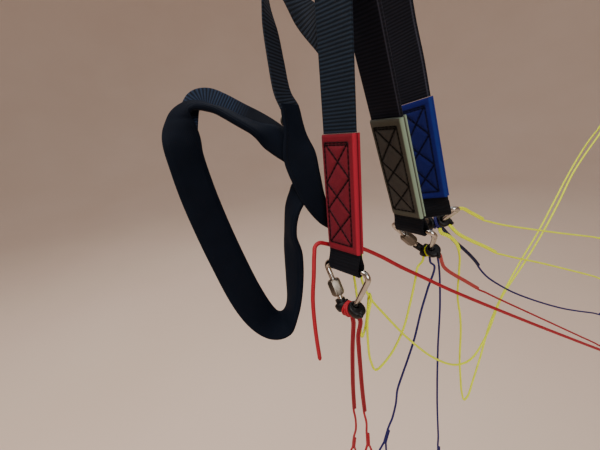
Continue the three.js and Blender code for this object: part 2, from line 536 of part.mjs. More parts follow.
const buildLines = () => {
  LINES.forEach(([name, key, [round, side], colour, steps, sewnLength, points]) => {
    const start = outward(radians(round));
    const leave = start.clone().multiplyScalar(Math.cos(radians(side)));
    leave.y = Math.sin(radians(side));
    const exit = FOOT_CENTRE.clone().addScaledVector(start, LINK.footRadius);
    exit.addScaledVector(leave, WRAP_OUTER + CONTACT);
    const lead = exit.clone().addScaledVector(leave, LINE.lead);
    const ends = [exit, lead].map((p) => p.applyMatrix4(linkPlace[key]));
    const route = [...ends, ...points.map(vector)];
    addMesh(name, cordAlong(route, steps, LINE.thin, LINE.sewn, sewnLength), finish(colour, 0.7));
  });
  const tail = [
    [-15, 3.4, -451.4], [-17, -2, -448.6], [-18.2, -6, -447.2], [-19, -9.4, -448.8], [-18, -12, -454],
    [-16, -16, -467], [-15, -20, -485], [-12, -23, -507], [-8, -25, -530],
  ];
  const away = [
    [-4, 21, -457], [4, 35, -467], [13, 49, -479], [23, 70, -495], [35, 92, -512], [62, 142, -548],
    [95, 200, -589], [134, 266, -635], [148, 289, -651],
  ];
  const runs = [['brake_line_tail', -1, tail, 40], ['brake_line', 1, away, 70]];
  runs.forEach(([name, side, points, steps]) => {
    const route = [knotExit(side), ...points.map(vector)];
    addMesh(name, cordAlong(route, steps, BRAKE_LINE, BRAKE_LINE, 0), finish(COLOUR.lineRed, 0.7));
  });
};

buildHangInLoop();
Object.entries(RISERS).forEach(([key, riser]) => buildRiser(key, riser));
buildHandle();
buildLines();

export default part;
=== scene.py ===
"""Looks of a paraglider riser set for one side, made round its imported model.

Lengths in the tables are millimetres in the part's own frame. The origin is where the harness
carabiner bears in the hang-in loop, +X runs across the webbing, +Y from the front riser to the
rear one, and +Z up.
"""

from __future__ import annotations

import logging
import math
from collections.abc import Callable, Sequence
from dataclasses import dataclass
from enum import Enum

import bmesh
import bpy
from mathutils import Matrix, Vector

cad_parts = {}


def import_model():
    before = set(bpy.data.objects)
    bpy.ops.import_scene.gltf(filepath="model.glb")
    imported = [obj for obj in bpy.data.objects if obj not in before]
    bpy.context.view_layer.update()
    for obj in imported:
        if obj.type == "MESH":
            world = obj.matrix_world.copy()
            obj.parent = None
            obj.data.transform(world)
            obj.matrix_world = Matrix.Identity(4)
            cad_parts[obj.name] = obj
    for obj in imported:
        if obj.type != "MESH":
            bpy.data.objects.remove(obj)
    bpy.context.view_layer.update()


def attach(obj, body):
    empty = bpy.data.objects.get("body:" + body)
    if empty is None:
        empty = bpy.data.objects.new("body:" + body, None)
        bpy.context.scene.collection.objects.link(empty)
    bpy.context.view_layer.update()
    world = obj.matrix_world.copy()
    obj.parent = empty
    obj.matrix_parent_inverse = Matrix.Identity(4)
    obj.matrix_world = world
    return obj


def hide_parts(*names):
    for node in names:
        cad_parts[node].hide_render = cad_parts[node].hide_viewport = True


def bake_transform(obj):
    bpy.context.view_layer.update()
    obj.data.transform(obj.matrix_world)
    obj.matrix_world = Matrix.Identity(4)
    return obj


LOG = logging.getLogger("riser_set")
MM = 0.001
ROOT = "riser_set"
# Gap between pieces that touch on the real object
CONTACT = 0.3
# How far the thicker selvedge of a band reaches in
BEAD_REACH = 1.1
# Distance round a line, which the braid is spread over on every cord
LINE_GIRTH = 1.8 * math.pi

Pair = tuple[float, float]
Triple = tuple[float, float, float]
Quad = tuple[float, float, float, float]
Ring = list[Pair]
Table = tuple[tuple[str, float], ...]
Inputs = dict[str | int, object]
Tree = bpy.types.NodeTree
Socket = bpy.types.NodeSocket
Skin = bmesh.types.BMesh


# Routes


class Flow(Enum):
    """How a route runs between its points."""

    EVEN = "even"
    CENTRIPETAL = "centripetal"


@dataclass(frozen=True)
class Station:
    """A place on a route, with the directions across and through the piece there."""

    point: Vector
    across: Vector
    through: Vector
    run: float = 0.0


@dataclass(frozen=True)
class Route:
    """A smooth line through points in millimetres."""

    points: tuple[Triple, ...]
    flow: Flow = Flow.EVEN

    def at(self, share: float) -> Vector:
        """Find a point of the route.

        Args:
            share: How far along, from 0 to 1, in equal steps from point to point.

        Returns:
            The point in millimetres.
        """
        last = len(self.points) - 1
        place = held(share) * last
        i = min(int(place), last - 1)
        t = place - i
        b, c = Vector(self.points[i]), Vector(self.points[i + 1])
        a = Vector(self.points[i - 1]) if i > 0 else 2 * b - c
        d = Vector(self.points[i + 2]) if i + 2 <= last else 2 * c - b
        if self.flow is Flow.EVEN:
            leave, arrive = (c - a) / 2, (d - b) / 2
        else:
            e, f, g = (math.sqrt((q - p).length) for p, q in ((a, b), (b, c), (c, d)))
            leave = ((b - a) / e - (c - a) / (e + f) + (c - b) / f) * f
            arrive = ((c - b) / f - (d - b) / (f + g) + (d - c) / g) * f
        bow = 3 * (c - b) - 2 * leave - arrive
        return b + leave * t + bow * t**2 + (2 * (b - c) + leave + arrive) * t**3

    def heading(self, share: float) -> Vector:
        """Return the direction of travel at a share of the route."""
        return (self.at(share + 1e-4) - self.at(share - 1e-4)).normalized()


@dataclass(frozen=True)
class BandRoute:
    """The route of a band: rows of its middle and the direction across it."""

    rows: tuple[tuple[Triple, Triple], ...]

    def station(self, share: float) -> Station:
        """Return the band's place and directions at a share of its route."""
        middle = Route(tuple(row[0] for row in self.rows))
        turn = Route(tuple(row[1] for row in self.rows))
        heading = middle.heading(share)
        across = turn.at(share)
        across = (across - across.dot(heading) * heading).normalized()
        return Station(middle.at(share), across, heading.cross(across))

    def stations(self, count: int) -> list[Station]:
        """Return stations after that many even steps, each with its distance from the first."""
        return measured([self.station(share) for share in even_shares(count)])


def measured(stations: Sequence[Station]) -> list[Station]:
    """Return the stations with their distance from the first filled in."""
    run = 0.0
    done: list[Station] = []
    for s in stations:
        if done:
            run += (s.point - done[-1].point).length
        done.append(Station(s.point, s.across, s.through, run))
    return done


def even_shares(count: int, start: float = 0.0, end: float = 1.0) -> list[float]:
    """Return evenly spaced shares of a route."""
    return [start + (end - start) * i / count for i in range(count + 1)]


def cord_stations(
    route: Route, shares: Sequence[float], side: Triple | None = None
) -> list[Station]:
    """Place stations along a cord, with a section that doesn't turn about its own line.

    Args:
        route: The cord's line.
        shares: Where the stations go, as shares of the route.
        side: Direction across the first section, where it matters.

    Returns:
        The stations.
    """
    upright = abs(route.heading(0).z) > 0.9
    across = Vector(side or ((1, 0, 0) if upright else (0, 0, 1)))
    made = []
    for share in shares:
        heading = route.heading(share)
        across = (across - across.dot(heading) * heading).normalized()
        made.append(Station(route.at(share), across, heading.cross(across)))
    return measured(made)


def held(value: float) -> float:
    """Return a number held between 0 and 1."""
    return min(max(value, 0.0), 1.0)


def eased(value: float) -> float:
    """Return a number held between 0 and 1, with a soft start and end."""
    t = held(value)
    return t * t * (3 - 2 * t)


def bell(offset: float) -> float:
    """Return 1 where the offset is 0, and less the further it is from 0 on either side."""
    return math.exp(-(offset**2))


# Meshes


def round_ring(radius: float, sides: int) -> Ring:
    """Return a round section of that radius."""
    turn = math.tau / sides
    return [(radius * math.cos(turn * k), radius * math.sin(turn * k)) for k in range(sides)]


def sweep(
    stations: Sequence[Station],
    ring: Callable[[int], Ring],
    closed: bool = False,
    girth: float | None = None,
) -> Skin:
    """Draw a closed section along stations by extruding it from one to the next.

    Args:
        stations: Where the section goes, in order.
        ring: Gives the section's points at a station, always as many.
        closed: Whether the last section joins the first; otherwise both ends are filled.
        girth: Distance round the section for its UV map, where it isn't its own.

    Returns:
        The skin in metres, with a UV map in millimetres round and along.
    """
    first = ring(0)
    sides = len(first)
    bm = bmesh.new()
    order = bm.verts.layers.int.new("order")
    row = bm.verts.layers.int.new("row")
    verts = bmesh.ops.create_circle(bm, radius=1, segments=sides)["verts"]
    for k, v in enumerate(verts):
        v[order] = k
    edges = list(bm.edges)
    start_edges = list(edges)
    for i, s in enumerate(stations):
        if i:
            made = bmesh.ops.extrude_edge_only(bm, edges=edges)["geom"]
            verts = [g for g in made if isinstance(g, bmesh.types.BMVert)]
            edges = [g for g in made if isinstance(g, bmesh.types.BMEdge) and g.is_boundary]
        section = ring(i)
        for v in verts:
            x, y = section[v[order]]
            v.co = (s.point + s.across * x + s.through * y) * MM
            v[row] = i
    if closed:
        bmesh.ops.bridge_loops(bm, edges=start_edges + edges)
    else:
        for rim in (start_edges, edges):
            bmesh.ops.contextual_create(bm, geom=rim)
    steps = [math.dist(first[k], first[(k + 1) % sides]) for k in range(sides)]
    places = [sum(steps[:k]) for k in range(sides + 1)]
    stretch = 1.0 if girth is None else girth / places[-1]
    count = len(stations)
    reach = stations[-1].run + (stations[-1].point - stations[0].point).length * closed
    uv = bm.loops.layers.uv.new("UVMap")
    for face in bm.faces:
        orders = [loop.vert[order] for loop in face.loops]
        rows = [loop.vert[row] for loop in face.loops]
        over = len(orders) == 4 and max(orders) - min(orders) > 1
        beyond = closed and max(rows) - min(rows) > 1
        for loop, k, i in zip(face.loops, orders, rows):
            u = places[sides if over and k == 0 else k] * stretch
            v = reach if beyond and i == 0 and count > 2 else stations[i].run
            loop[uv].uv = (u, v)
    bm.verts.layers.int.remove(bm.verts.layers.int["order"])
    bm.verts.layers.int.remove(bm.verts.layers.int["row"])
    bmesh.ops.recalc_face_normals(bm, faces=bm.faces)
    return bm


def flat_ring(width: float, thick: float, across: int = 10, bead: float = 0.0) -> Ring:
    """Return the section of a flat band with rounded edges.

    Args:
        width: Its width.
        thick: Its thickness.
        across: How many points each face has.
        bead: How much thicker the selvedges are than the middle.

    Returns:
        The section's points.
    """
    half = thick / 2
    inner = width / 2 - half
    face = []
    for k in range(across + 1):
        x = inner * (2 * k / across - 1)
        swell = bead / 2 * bell((abs(x) - inner) / BEAD_REACH)
        face.append((x, half - bead / 2 + swell))
    edge = [(inner + half * math.cos(a), half * math.sin(a)) for a in (0.9, 0.0, -0.9)]
    lower = [(-x, -y) for x, y in face]
    return [*face, *edge, *lower, *[(-x, -y) for x, y in edge]]


def cord_skin(stations: Sequence[Station], radius: float, sides: int = 10) -> Skin:
    """Return the skin of a round cord."""
    return sweep(stations, lambda i: round_ring(radius, sides), girth=LINE_GIRTH)


def spun(profile: Sequence[Pair], steps: int, merge: float = 1e-6) -> Skin:
    """Spin a profile round Z.

    Args:
        profile: Its points, as radius and height in metres.
        steps: How many steps the turn takes.
        merge: Distance within which points become one.

    Returns:
        The skin.
    """
    bm = bmesh.new()
    verts = [bm.verts.new((radius, 0, height)) for radius, height in profile]
    edges = [bm.edges.new(pair) for pair in zip(verts, verts[1:])]
    bmesh.ops.spin(bm, geom=[*verts, *edges], cent=(0, 0, 0), axis=(0, 0, 1), angle=math.tau,
                   steps=steps, use_merge=True)
    bmesh.ops.remove_doubles(bm, verts=bm.verts, dist=merge)
    bmesh.ops.recalc_face_normals(bm, faces=bm.faces)
    return bm


def to_mesh(name: str, bm: Skin, sharp: float = 60.0) -> bpy.types.Object:
    """Turn a finished bmesh into an object at the origin.

    Args:
        name: The piece's name.
        bm: The shape, which is freed.
        sharp: Angle in degrees from which an edge stays crisp.

    Returns:
        The new object.
    """
    mesh = bpy.data.meshes.new(name)
    bm.to_mesh(mesh)
    bm.free()
    mesh.shade_smooth()
    mesh.set_sharp_from_angle(angle=math.radians(sharp))
    made = bpy.data.objects.new(name, mesh)
    bpy.context.scene.collection.objects.link(made)
    return made


# Finishes


def linear(code: str) -> Quad:
    """Return an sRGB hex colour as the linear colour that shaders use."""
    parts = [int(code[i : i + 2], 16) / 255 for i in (1, 3, 5)]
    red, green, blue = (c / 12.92 if c <= 0.04045 else ((c + 0.055) / 1.055) ** 2.4 for c in parts)
    return red, green, blue, 1.0


def add_node(tree: Tree, kind: str, inputs: Inputs | None = None, **settings) -> bpy.types.Node:
    """Add a shader node.

    Args:
        tree: The material's node tree.
        kind: The node's type, without its ShaderNode prefix.
        inputs: Sockets to join, or values to set, by input name or number.
        settings: The node's own properties.

    Returns:
        The new node.
    """
    node = tree.nodes.new("ShaderNode" + kind)
    for key, value in settings.items():
        setattr(node, key, value)
    for key, value in (inputs or {}).items():
        if isinstance(value, bpy.types.NodeSocket):
            tree.links.new(value, node.inputs[key])
        else:
            node.inputs[key].default_value = value
    return node


@dataclass(frozen=True)
class Shading:
    """A material's node tree and shader, while a finish is joined to them."""

    tree: Tree
    shader: bpy.types.Node

    def add(self, kind: str, inputs: Inputs | None = None, out: str | int = 0,
            **settings) -> Socket:
        """Add a node and return one of its outputs."""
        return add_node(self.tree, kind, inputs, **settings).outputs[out]

    def sheet_place(self) -> Socket:
        """Return the piece's own UV map, in millimetres."""
        return self.add("UVMap", uv_map="UVMap")

    def shares(self, name: str) -> Socket:
        """Return the mesh's attribute of that name."""
        return self.add("Attribute", out="Fac", attribute_name=name)

    def bands(self, place: Socket, pitch: float, direction: str, wobble: float = 0.0) -> Socket:
        """Return even bands from 0 to 1, that pitch apart in millimetres along X or Y."""
        inputs = {"Vector": place, "Scale": math.pi / 10 / pitch, "Distortion": wobble,
                  "Detail Scale": 2.0}
        return self.add("TexWave", inputs, "Fac", bands_direction=direction)

    def combine(self, operation: str, a: object, b: object) -> Socket:
        """Return one number from two, by the named operation."""
        return self.add("Math", {0: a, 1: b}, operation=operation)

    def mix(self, share: object, low: object, high: object, blend_type: str = "MIX") -> Socket:
        """Return a mix of two colours, sockets or hex codes, low where the share is 0."""
        a, b = (linear(side) if isinstance(side, str) else side for side in (low, high))
        return self.add("Mix", {"Factor": share, 6: a, 7: b}, 2, data_type="RGBA",
                        blend_type=blend_type)

    def remap(self, value: Socket, low: float, high: float, start: float = 0.0,
              end: float = 1.0) -> Socket:
        """Return a number spread from low at the start to high at the end."""
        return self.add("MapRange", {0: value, 1: start, 2: end, 3: low, 4: high})

    def mottle(self, size: float) -> Socket:
        """Return soft patches of that size in millimetres, from the piece's own place."""
        place = self.add("TexCoord", out="Object")
        return self.add("TexNoise", {"Vector": place, "Scale": 1 / (size * MM), "Detail": 3.0}, "Fac")

    def join(self, colour: Socket, rough: Socket, height: Socket | None = None,
             depth: float = 0.0) -> None:
        """Join the pattern to the shader.

        Args:
            colour: The base colour.
            rough: The roughness.
            height: The relief's height, where there is one.
            depth: The relief's depth in millimetres.
        """
        joined = {"Base Color": colour, "Roughness": rough}
        if height is not None:
            inputs = {"Height": height, "Distance": depth * MM, "Strength": 1.0}
            joined["Normal"] = self.add("Bump", inputs)
        for name, socket in joined.items():
            self.tree.links.new(socket, self.shader.inputs[name])


@dataclass(frozen=True)
class Finish:
    """A procedural material: its name, its two colours and the shader's fixed values."""

    name: str
    colour: str
    shade: str
    fixed: Table = ()

    def material(self) -> bpy.types.Material:
        """Return the material, made on its first use."""
        found = bpy.data.materials.get(self.name)
        if found:
            return found
        made = bpy.data.materials.new(self.name)
        made.use_nodes = True
        shader = made.node_tree.nodes["Principled BSDF"]
        for socket, value in self.fixed:
            shader.inputs[socket].default_value = value
        if "Sheen Weight" in dict(self.fixed):
            shader.inputs["Sheen Tint"].default_value = linear("#9db4e0")
        self.dress(Shading(made.node_tree, shader))
        return made

    def dress(self, pen: Shading) -> None:
        """Join the pattern's nodes to the shader."""
        raise NotImplementedError


def cloth(sheen: float, sheen_rough: float, specular: float) -> Table:
    """Return the shader's fixed values for a cloth."""
    return (("Sheen Weight", sheen), ("Sheen Roughness", sheen_rough),
            ("Specular IOR Level", specular))


@dataclass(frozen=True)
class RibbedWebbing(Finish):
    """Woven polyester webbing: ribs across it, crossed by fine warp yarns, with painted shade between the
    ribs.

    Its start can be plain, in its darker colour, for some millimetres, and one edge can carry a paler
    stripe that is a painted highlight.
    """

    rib: float = 2.1
    yarn: float = 0.85
    depth: float = 0.24
    # Place round the section of a paler stripe, a painted highlight, and the stripe's colour
    lit_stripe_at: float = 0.0
    edge: str = "#000000"
    plain: float = 0.0
    fixed: Table = cloth(0.05, 0.5, 0.1)

    def dress(self, pen: Shading) -> None:
        """Join the weave to the shader."""
        place = pen.sheet_place()
        ribs = pen.bands(place, self.rib, "Y", 0.5)
        yarns = pen.bands(place, self.yarn, "X", 0.8)
        crossed = pen.combine("MULTIPLY", ribs, pen.remap(yarns, 0.55, 1.0))
        worn = pen.mottle(9.0)
        # Over the plain start the ribs fade out, in relief and in colour, leaving the darker colour
        if self.plain:
            along = pen.add("SeparateXYZ", {0: place}, 1)
            shown = pen.remap(along, 0.0, 1.0, self.plain, self.plain + 14)
            crossed = pen.combine("MULTIPLY", crossed, shown)
        # Ribs take the main colour and grooves the darker one: a painted highlight and painted shade, over
        # random patches
        share = pen.combine("MULTIPLY", crossed, pen.remap(worn, 0.5, 1.3))
        colour = pen.mix(share, self.shade, self.colour)
        # A paler stripe along one edge: a painted highlight
        if self.lit_stripe_at:
            away = pen.combine("SUBTRACT", pen.add("SeparateXYZ", {0: place}), self.lit_stripe_at)
            away = pen.combine("ABSOLUTE", away, 0.0)
            colour = pen.mix(pen.remap(away, 1.0, 0.0, 0.3, 0.7), colour, self.edge)
        pen.join(colour, pen.remap(worn, 0.6, 0.8), crossed, self.depth)


@dataclass(frozen=True)
class CoverCloth(Finish):
    """Plain-woven polyester of a stitched cover, pressed darker inside the stitching, with painted shade
    in its seams and a painted highlight on its free edges.
    """

    weave: float = 0.62
    pressed: str = "#000000"
    # Colour of the painted highlight on the free edges' ridges
    edge: str = "#000000"
    # Colour of the painted shade in the seams
    groove: str = "#08060a"
    fixed: Table = cloth(0.06, 0.5, 0.15)

    def dress(self, pen: Shading) -> None:
        """Join the weave and the pressed panel to the shader."""
        place = pen.sheet_place()
        warp, weft = (pen.bands(place, self.weave, way, 0.6) for way in "XY")
        weave = pen.combine("MAXIMUM", warp, weft)
        patches = pen.mottle(6.0)
        light = pen.combine("MULTIPLY", pen.remap(weave, 0.55, 1.0), pen.remap(patches, 0.6, 1.15))
        colour = pen.mix(light, self.shade, self.colour)
        inner = pen.mix(1.0, self.pressed, pen.remap(light, 0.55, 1.25), "MULTIPLY")
        colour = pen.mix(pen.shares("pressed"), colour, inner)
        # Painted highlight on the free edges' ridges
        colour = pen.mix(pen.shares("painted_highlight_edge"), colour, self.edge)
        # Painted shade in the seams' grooves
        colour = pen.mix(pen.shares("seam"), colour, self.groove)
        pen.join(colour, pen.remap(patches, 0.62, 0.85), weave, 0.1)


@dataclass(frozen=True)
class PaddedCloth(Finish):
    """Fine knitted cloth drawn over foam."""

    knit: float = 0.7
    fixed: Table = cloth(0.02, 0.6, 0.02)

    def dress(self, pen: Shading) -> None:
        """Join the knit to the shader."""
        place = pen.sheet_place()
        wales = pen.bands(place, self.knit, "X", 1.2)
        knit = pen.combine("MULTIPLY", wales, pen.bands(place, self.knit * 0.8, "Y", 1.2))
        patches = pen.mottle(14.0)
        share = pen.combine("MULTIPLY", pen.remap(knit, 0.4, 1.0), pen.remap(patches, 0.4, 1.2))
        pen.join(pen.mix(share, self.shade, self.colour), pen.remap(patches, 0.55, 0.75), knit, 0.08)


@dataclass(frozen=True)
class Steel(Finish):
    """Stainless steel, drawn and polished, with faint marks along its surface."""

    smooth: float = 0.12
    rough: float = 0.3
    fixed: Table = (("Metallic", 1.0),)

    def dress(self, pen: Shading) -> None:
        """Join the marks to the shader."""
        marks = pen.mottle(1.3)
        colour = pen.mix(pen.mottle(5.0), self.shade, self.colour)
        pen.join(colour, pen.remap(marks, self.smooth, self.rough), marks, 0.015)


@dataclass(frozen=True)
class Rubber(Finish):
    """Moulded black rubber with a little dust in soft patches."""

    fixed: Table = (("Specular IOR Level", 0.25),)

    def dress(self, pen: Shading) -> None:
        """Join the dust and the mould's grain to the shader."""
        dust = pen.mottle(3.0)
        colour = pen.mix(dust, self.colour, self.shade)
        pen.join(colour, pen.remap(dust, 0.35, 0.6), pen.mottle(0.5), 0.04)


@dataclass(frozen=True)
class BraidedSheath(Finish):
    """Braided polyester sheath of a line: strands that cross at a slant."""

    strands: int = 4
    slant: float = 40.0
    sewn: str = "#000000"
    gloss: float = 0.5
    fixed: Table = cloth(0.05, 0.4, 0.3)

    def dress(self, pen: Shading) -> None:
        """Join the braid to the shader, in another shade where the line is sewn back on itself."""
        place = pen.sheet_place()
        lean = math.radians(self.slant)
        pitch = LINE_GIRTH * math.cos(lean) / self.strands
        turned = [pen.add("Mapping", {"Vector": place, "Rotation": (0, 0, turn)})
                  for turn in (lean, -lean)]
        braid = pen.combine("MAXIMUM", *(pen.bands(way, pitch, "X") for way in turned))
        light = pen.remap(pen.mottle(7.0), 0.7, 1.2)
        share = pen.combine("MULTIPLY", pen.remap(braid, 0.25, 1.0), light)
        sewn = pen.mix(1.0, self.sewn, pen.remap(braid, 0.45, 1.15), "MULTIPLY")
        doubled = pen.shares("sewn")
        colour = pen.mix(doubled, pen.mix(share, self.shade, self.colour), sewn)
        pen.join(colour, pen.remap(doubled, 0.5, self.gloss), braid, 0.12)


@dataclass(frozen=True)
class Thread(Finish):
    """Bonded sewing thread, with its twist along each stitch."""

    fixed: Table = (("Specular IOR Level", 0.08),)

    def dress(self, pen: Shading) -> None:
        """Join the twist to the shader."""
        twist = pen.mottle(0.35)
        pen.join(pen.mix(twist, self.shade, self.colour), pen.remap(twist, 0.4, 0.65), twist, 0.05)


@dataclass(frozen=True)
class PaintedFloor(Finish):
    """Plain pale floor paint, a little uneven."""

    def dress(self, pen: Shading) -> None:
        """Join the unevenness to the shader."""
        patches = pen.mottle(900.0)
        pen.join(pen.mix(patches, self.shade, self.colour), pen.remap(patches, 0.6, 0.8))

# Woven black polyester, 25 mm wide: the lit copy, lighter than the rear one as painted light, with a
# painted blue highlight on each rib
WEBBING = RibbedWebbing("webbing_woven_polyester", "#1d2937", "#080d13")
# The same webbing further back in the set, painted darker and browner as its shaded copy, with a paler
# stripe along one edge that is a painted highlight
SHADED_REAR_WEBBING = RibbedWebbing("rear_webbing_shaded_polyester", "#1b1b24", "#0b0b10", depth=0.15,
                             lit_stripe_at=22.6, edge="#34343e")
# The same webbing pulled tight round a link's bar, where its ribs are pressed flat
FOLDED_WEBBING = RibbedWebbing("folded_webbing_polyester", "#0d0e13", "#060609", depth=0.12)
# Narrower tape of the handle's strap, with coarser ribs
STRAP_TAPE = RibbedWebbing("strap_tape_polyester", "#232a36", "#06080c", rib=2.4, depth=0.3)
# Tape behind the hand loop's padding, plain and in its darker colour over about its first 44 mm, ribbed
# beyond
BACKING_TAPE = RibbedWebbing("backing_tape_polyester", "#2a3850", "#0b0f18", rib=1.9, depth=0.22,
                             plain=44.0)
# Woven covers, sewn flat with dark thread, with painted shade in their seams and a painted highlight on
# the ridges of their free edges
RED_COVER = CoverCloth("cover_red_polyester", "#73111e", "#4e0a14", pressed="#5d0f1b",
                       edge="#9a1c2e")
OLIVE_COVER = CoverCloth("cover_olive_polyester", "#4f4c40", "#34312a", pressed="#38342e",
                         edge="#82957f")
BLUE_COVER = CoverCloth("cover_blue_polyester", "#0c1566", "#080d3e", pressed="#0a114c",
                        edge="#12266f")
# Knitted cloth over foam, matt black with a blue bloom
HANDLE_CLOTH = PaddedCloth("handle_knit_cloth", "#131823", "#050609")
# Cold-drawn and polished stainless wire, and the turned sleeve on it, whose darker, browner colour is a
# painted reflection of the warm room
LINK_STEEL = Steel("link_polished_stainless", "#c9c4bc", "#9a938a", smooth=0.08, rough=0.24)
SLEEVE_STEEL = Steel("sleeve_turned_stainless", "#7f776c", "#595249", smooth=0.3, rough=0.5)
# Nickel-plated cap of the press stud
STUD_STEEL = Steel("stud_plated_cap", "#f2efe9", "#cfcac2", smooth=0.3, rough=0.5)
# Moulded rubber inserts
INSERT_RUBBER = Rubber("insert_moulded_rubber", "#030304", "#09090b")
# Dyed polyester sheaths over the lines' cores, another shade where they are sewn back
RED_LINE = BraidedSheath("line_red_braid", "#a50e20", "#5c0611", sewn="#86141f")
FADED_RED_LINE = BraidedSheath("line_faded_red_braid", "#a51c28", "#64101a", sewn="#a8403c")
NAVY_LINE = BraidedSheath("line_navy_braid", "#15145c", "#09082c", sewn="#171b38", gloss=0.22)
YELLOW_LINE = BraidedSheath("line_yellow_braid", "#e6f21a", "#b4be10", sewn="#e2ec22")
# Bonded polyester thread
RED_THREAD = Thread("thread_dark_red", "#1c060b", "#100306")
OLIVE_THREAD = Thread("thread_dark_olive", "#0f0e0a", "#080705")
BLUE_THREAD = Thread("thread_dark_blue", "#060826", "#030414")
BLACK_THREAD = Thread("thread_black", "#08090c", "#040506")
FLOOR_PAINT = PaintedFloor("floor_pale_paint", "#e4cdbb", "#dac0ac")


@dataclass(frozen=True)
class Piece:
    """How a mesh joins the model: its finish, body, material slot name (held but not applied) and the
    nodes it stands for.
    """

    finish: Finish
    slot: str
    body: str = ROOT
    nodes: tuple[str, ...] = ()
    blend: tuple[str, str, Triple, Triple] | None = None

    def place(self, made: bpy.types.Object) -> bpy.types.Object:
        """Dress the mesh and hand it to its body.

        Args:
            made: The finished mesh object.

        Returns:
            The same object.
        """
        made.data.materials.append(self.finish.material())
        if self.blend:
            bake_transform(made)
        else:
            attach(made, self.body)
        if self.nodes:
            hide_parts(*self.nodes)
        LOG.info("%s: %d faces", made.name, len(made.data.polygons))
        return made

    def draw(self, name: str, bm: Skin, sharp: float = 60.0) -> bpy.types.Object:
        """Turn a skin into an object and place it."""
        return self.place(to_mesh(name, bm, sharp))


def draw_band(name: str, node: str, finish: Finish, stations: Sequence[Station], ring: Ring) -> None:
    """Draw a band of webbing or tape that has one section all along."""
    Piece(finish, "webbing_polyester", nodes=(node,)).draw(name, sweep(stations, lambda i: ring))


def stitch_row(bm: Skin, points: Sequence[Vector], lift: Vector, length: float = 2.7,
               gap: float = 0.4, radius: float = 0.34) -> None:
    """Sew stitches along a broken line.

    Args:
        bm: The bmesh that takes the stitches.
        points: The line's corners in millimetres.
        lift: Direction out of the cloth.
        length: Length of a stitch.
        gap: Distance between stitches.
        radius: Half the thread's thickness.
    """
    for a, b in zip(points, points[1:]):
        span = (b - a).length
        count = max(1, round(span / (length + gap)))
        along = (b - a) / span
        side = lift.cross(along).normalized()
        half = (span / count - gap) / 2
        for i in range(count):
            middle = a + (b - a) * ((i + 0.5) / count)
            axes = Matrix((along * half, side * radius, lift * radius)).transposed().to_4x4()
            where = Matrix.Scale(MM, 4) @ Matrix.Translation(middle) @ axes
            bmesh.ops.create_uvsphere(bm, u_segments=6, v_segments=5, radius=1,
                                      matrix=where @ Matrix.Rotation(math.pi / 2, 4, "Y"))


# Studio


@dataclass
class Studio:
    """Pale floor that curves up all round, soft lights, and the photograph's camera."""

    eye: Triple = (119.897, -143.646, -366.912)
    right: Triple = (0.68116, 0.72594, -0.09501)
    up: Triple = (-0.17254, 0.28529, 0.94278)
    lens: float = 18.0
    sensor: float = 36.0
    floor_level: float = -1.25
    floor_radius: float = 4.0
    wall_bend: float = 4.5
    wall_height: float = 8.0
    room_light: float = 0.55

    def place_camera(self) -> None:
        """Stand the camera where the photograph was taken."""
        data = bpy.data.cameras.new("photo_camera")
        data.lens, data.sensor_width, data.sensor_fit = self.lens, self.sensor, "HORIZONTAL"
        data.clip_start = 0.01
        camera = bpy.data.objects.new("photo_camera", data)
        right, up = Vector(self.right).normalized(), Vector(self.up).normalized()
        axes = Matrix((right, up, right.cross(up))).transposed().to_4x4()
        camera.matrix_world = Matrix.Translation(Vector(self.eye) * MM) @ axes
        bpy.context.scene.collection.objects.link(camera)
        bpy.context.scene.camera = camera

    def lay_floor(self) -> None:
        """Spin the floor's profile round: flat in the middle, then curved up into a wall."""
        flat, bend, level = self.floor_radius, self.wall_bend, self.floor_level
        curve = [(flat + bend * math.sin(a), level + bend * (1 - math.cos(a)))
                 for a in (math.pi / 2 * k / 16 for k in range(17))]
        profile = [(0.0, level), *curve, (flat + bend, level + self.wall_height)]
        floor = to_mesh("floor", spun(profile, 64, merge=1e-5), sharp=80)
        if floor.data.polygons[0].normal.z < 0:
            floor.data.flip_normals()
        floor.data.materials.append(FLOOR_PAINT.material())

    def hang_lights(self) -> None:
        """Hang large soft lights, and fill the room with pale light."""
        rows = (
            # where, aimed at, size, power, colour
            ((-0.6, -1.2, 1.6), (0, 0, -0.4), 1.5, 58.0, "#fff8f0"),
            ((1.6, -0.9, 0.3), (0, 0, -0.45), 1.0, 24.0, "#ffffff"),
            ((-1.2, 1.4, 1.0), (0, 0, -0.4), 1.2, 7.0, "#f2f6ff"),
        )
        for i, (where, aim, size, power, colour) in enumerate(rows):
            data = bpy.data.lights.new(f"soft_light_{i}", "AREA")
            data.shape, data.size, data.energy = "DISK", size, power
            data.color = linear(colour)[:3]
            light = bpy.data.objects.new(f"soft_light_{i}", data)
            turn = (Vector(aim) - Vector(where)).to_track_quat("-Z", "Y").to_matrix().to_4x4()
            light.matrix_world = Matrix.Translation(where) @ turn
            bpy.context.scene.collection.objects.link(light)
        world = bpy.data.worlds.new("room_light")
        world.use_nodes = True
        background = world.node_tree.nodes["Background"]
        background.inputs["Color"].default_value = linear("#f4f6fa")
        background.inputs["Strength"].default_value = self.room_light
        bpy.context.scene.world = world


# Quick links


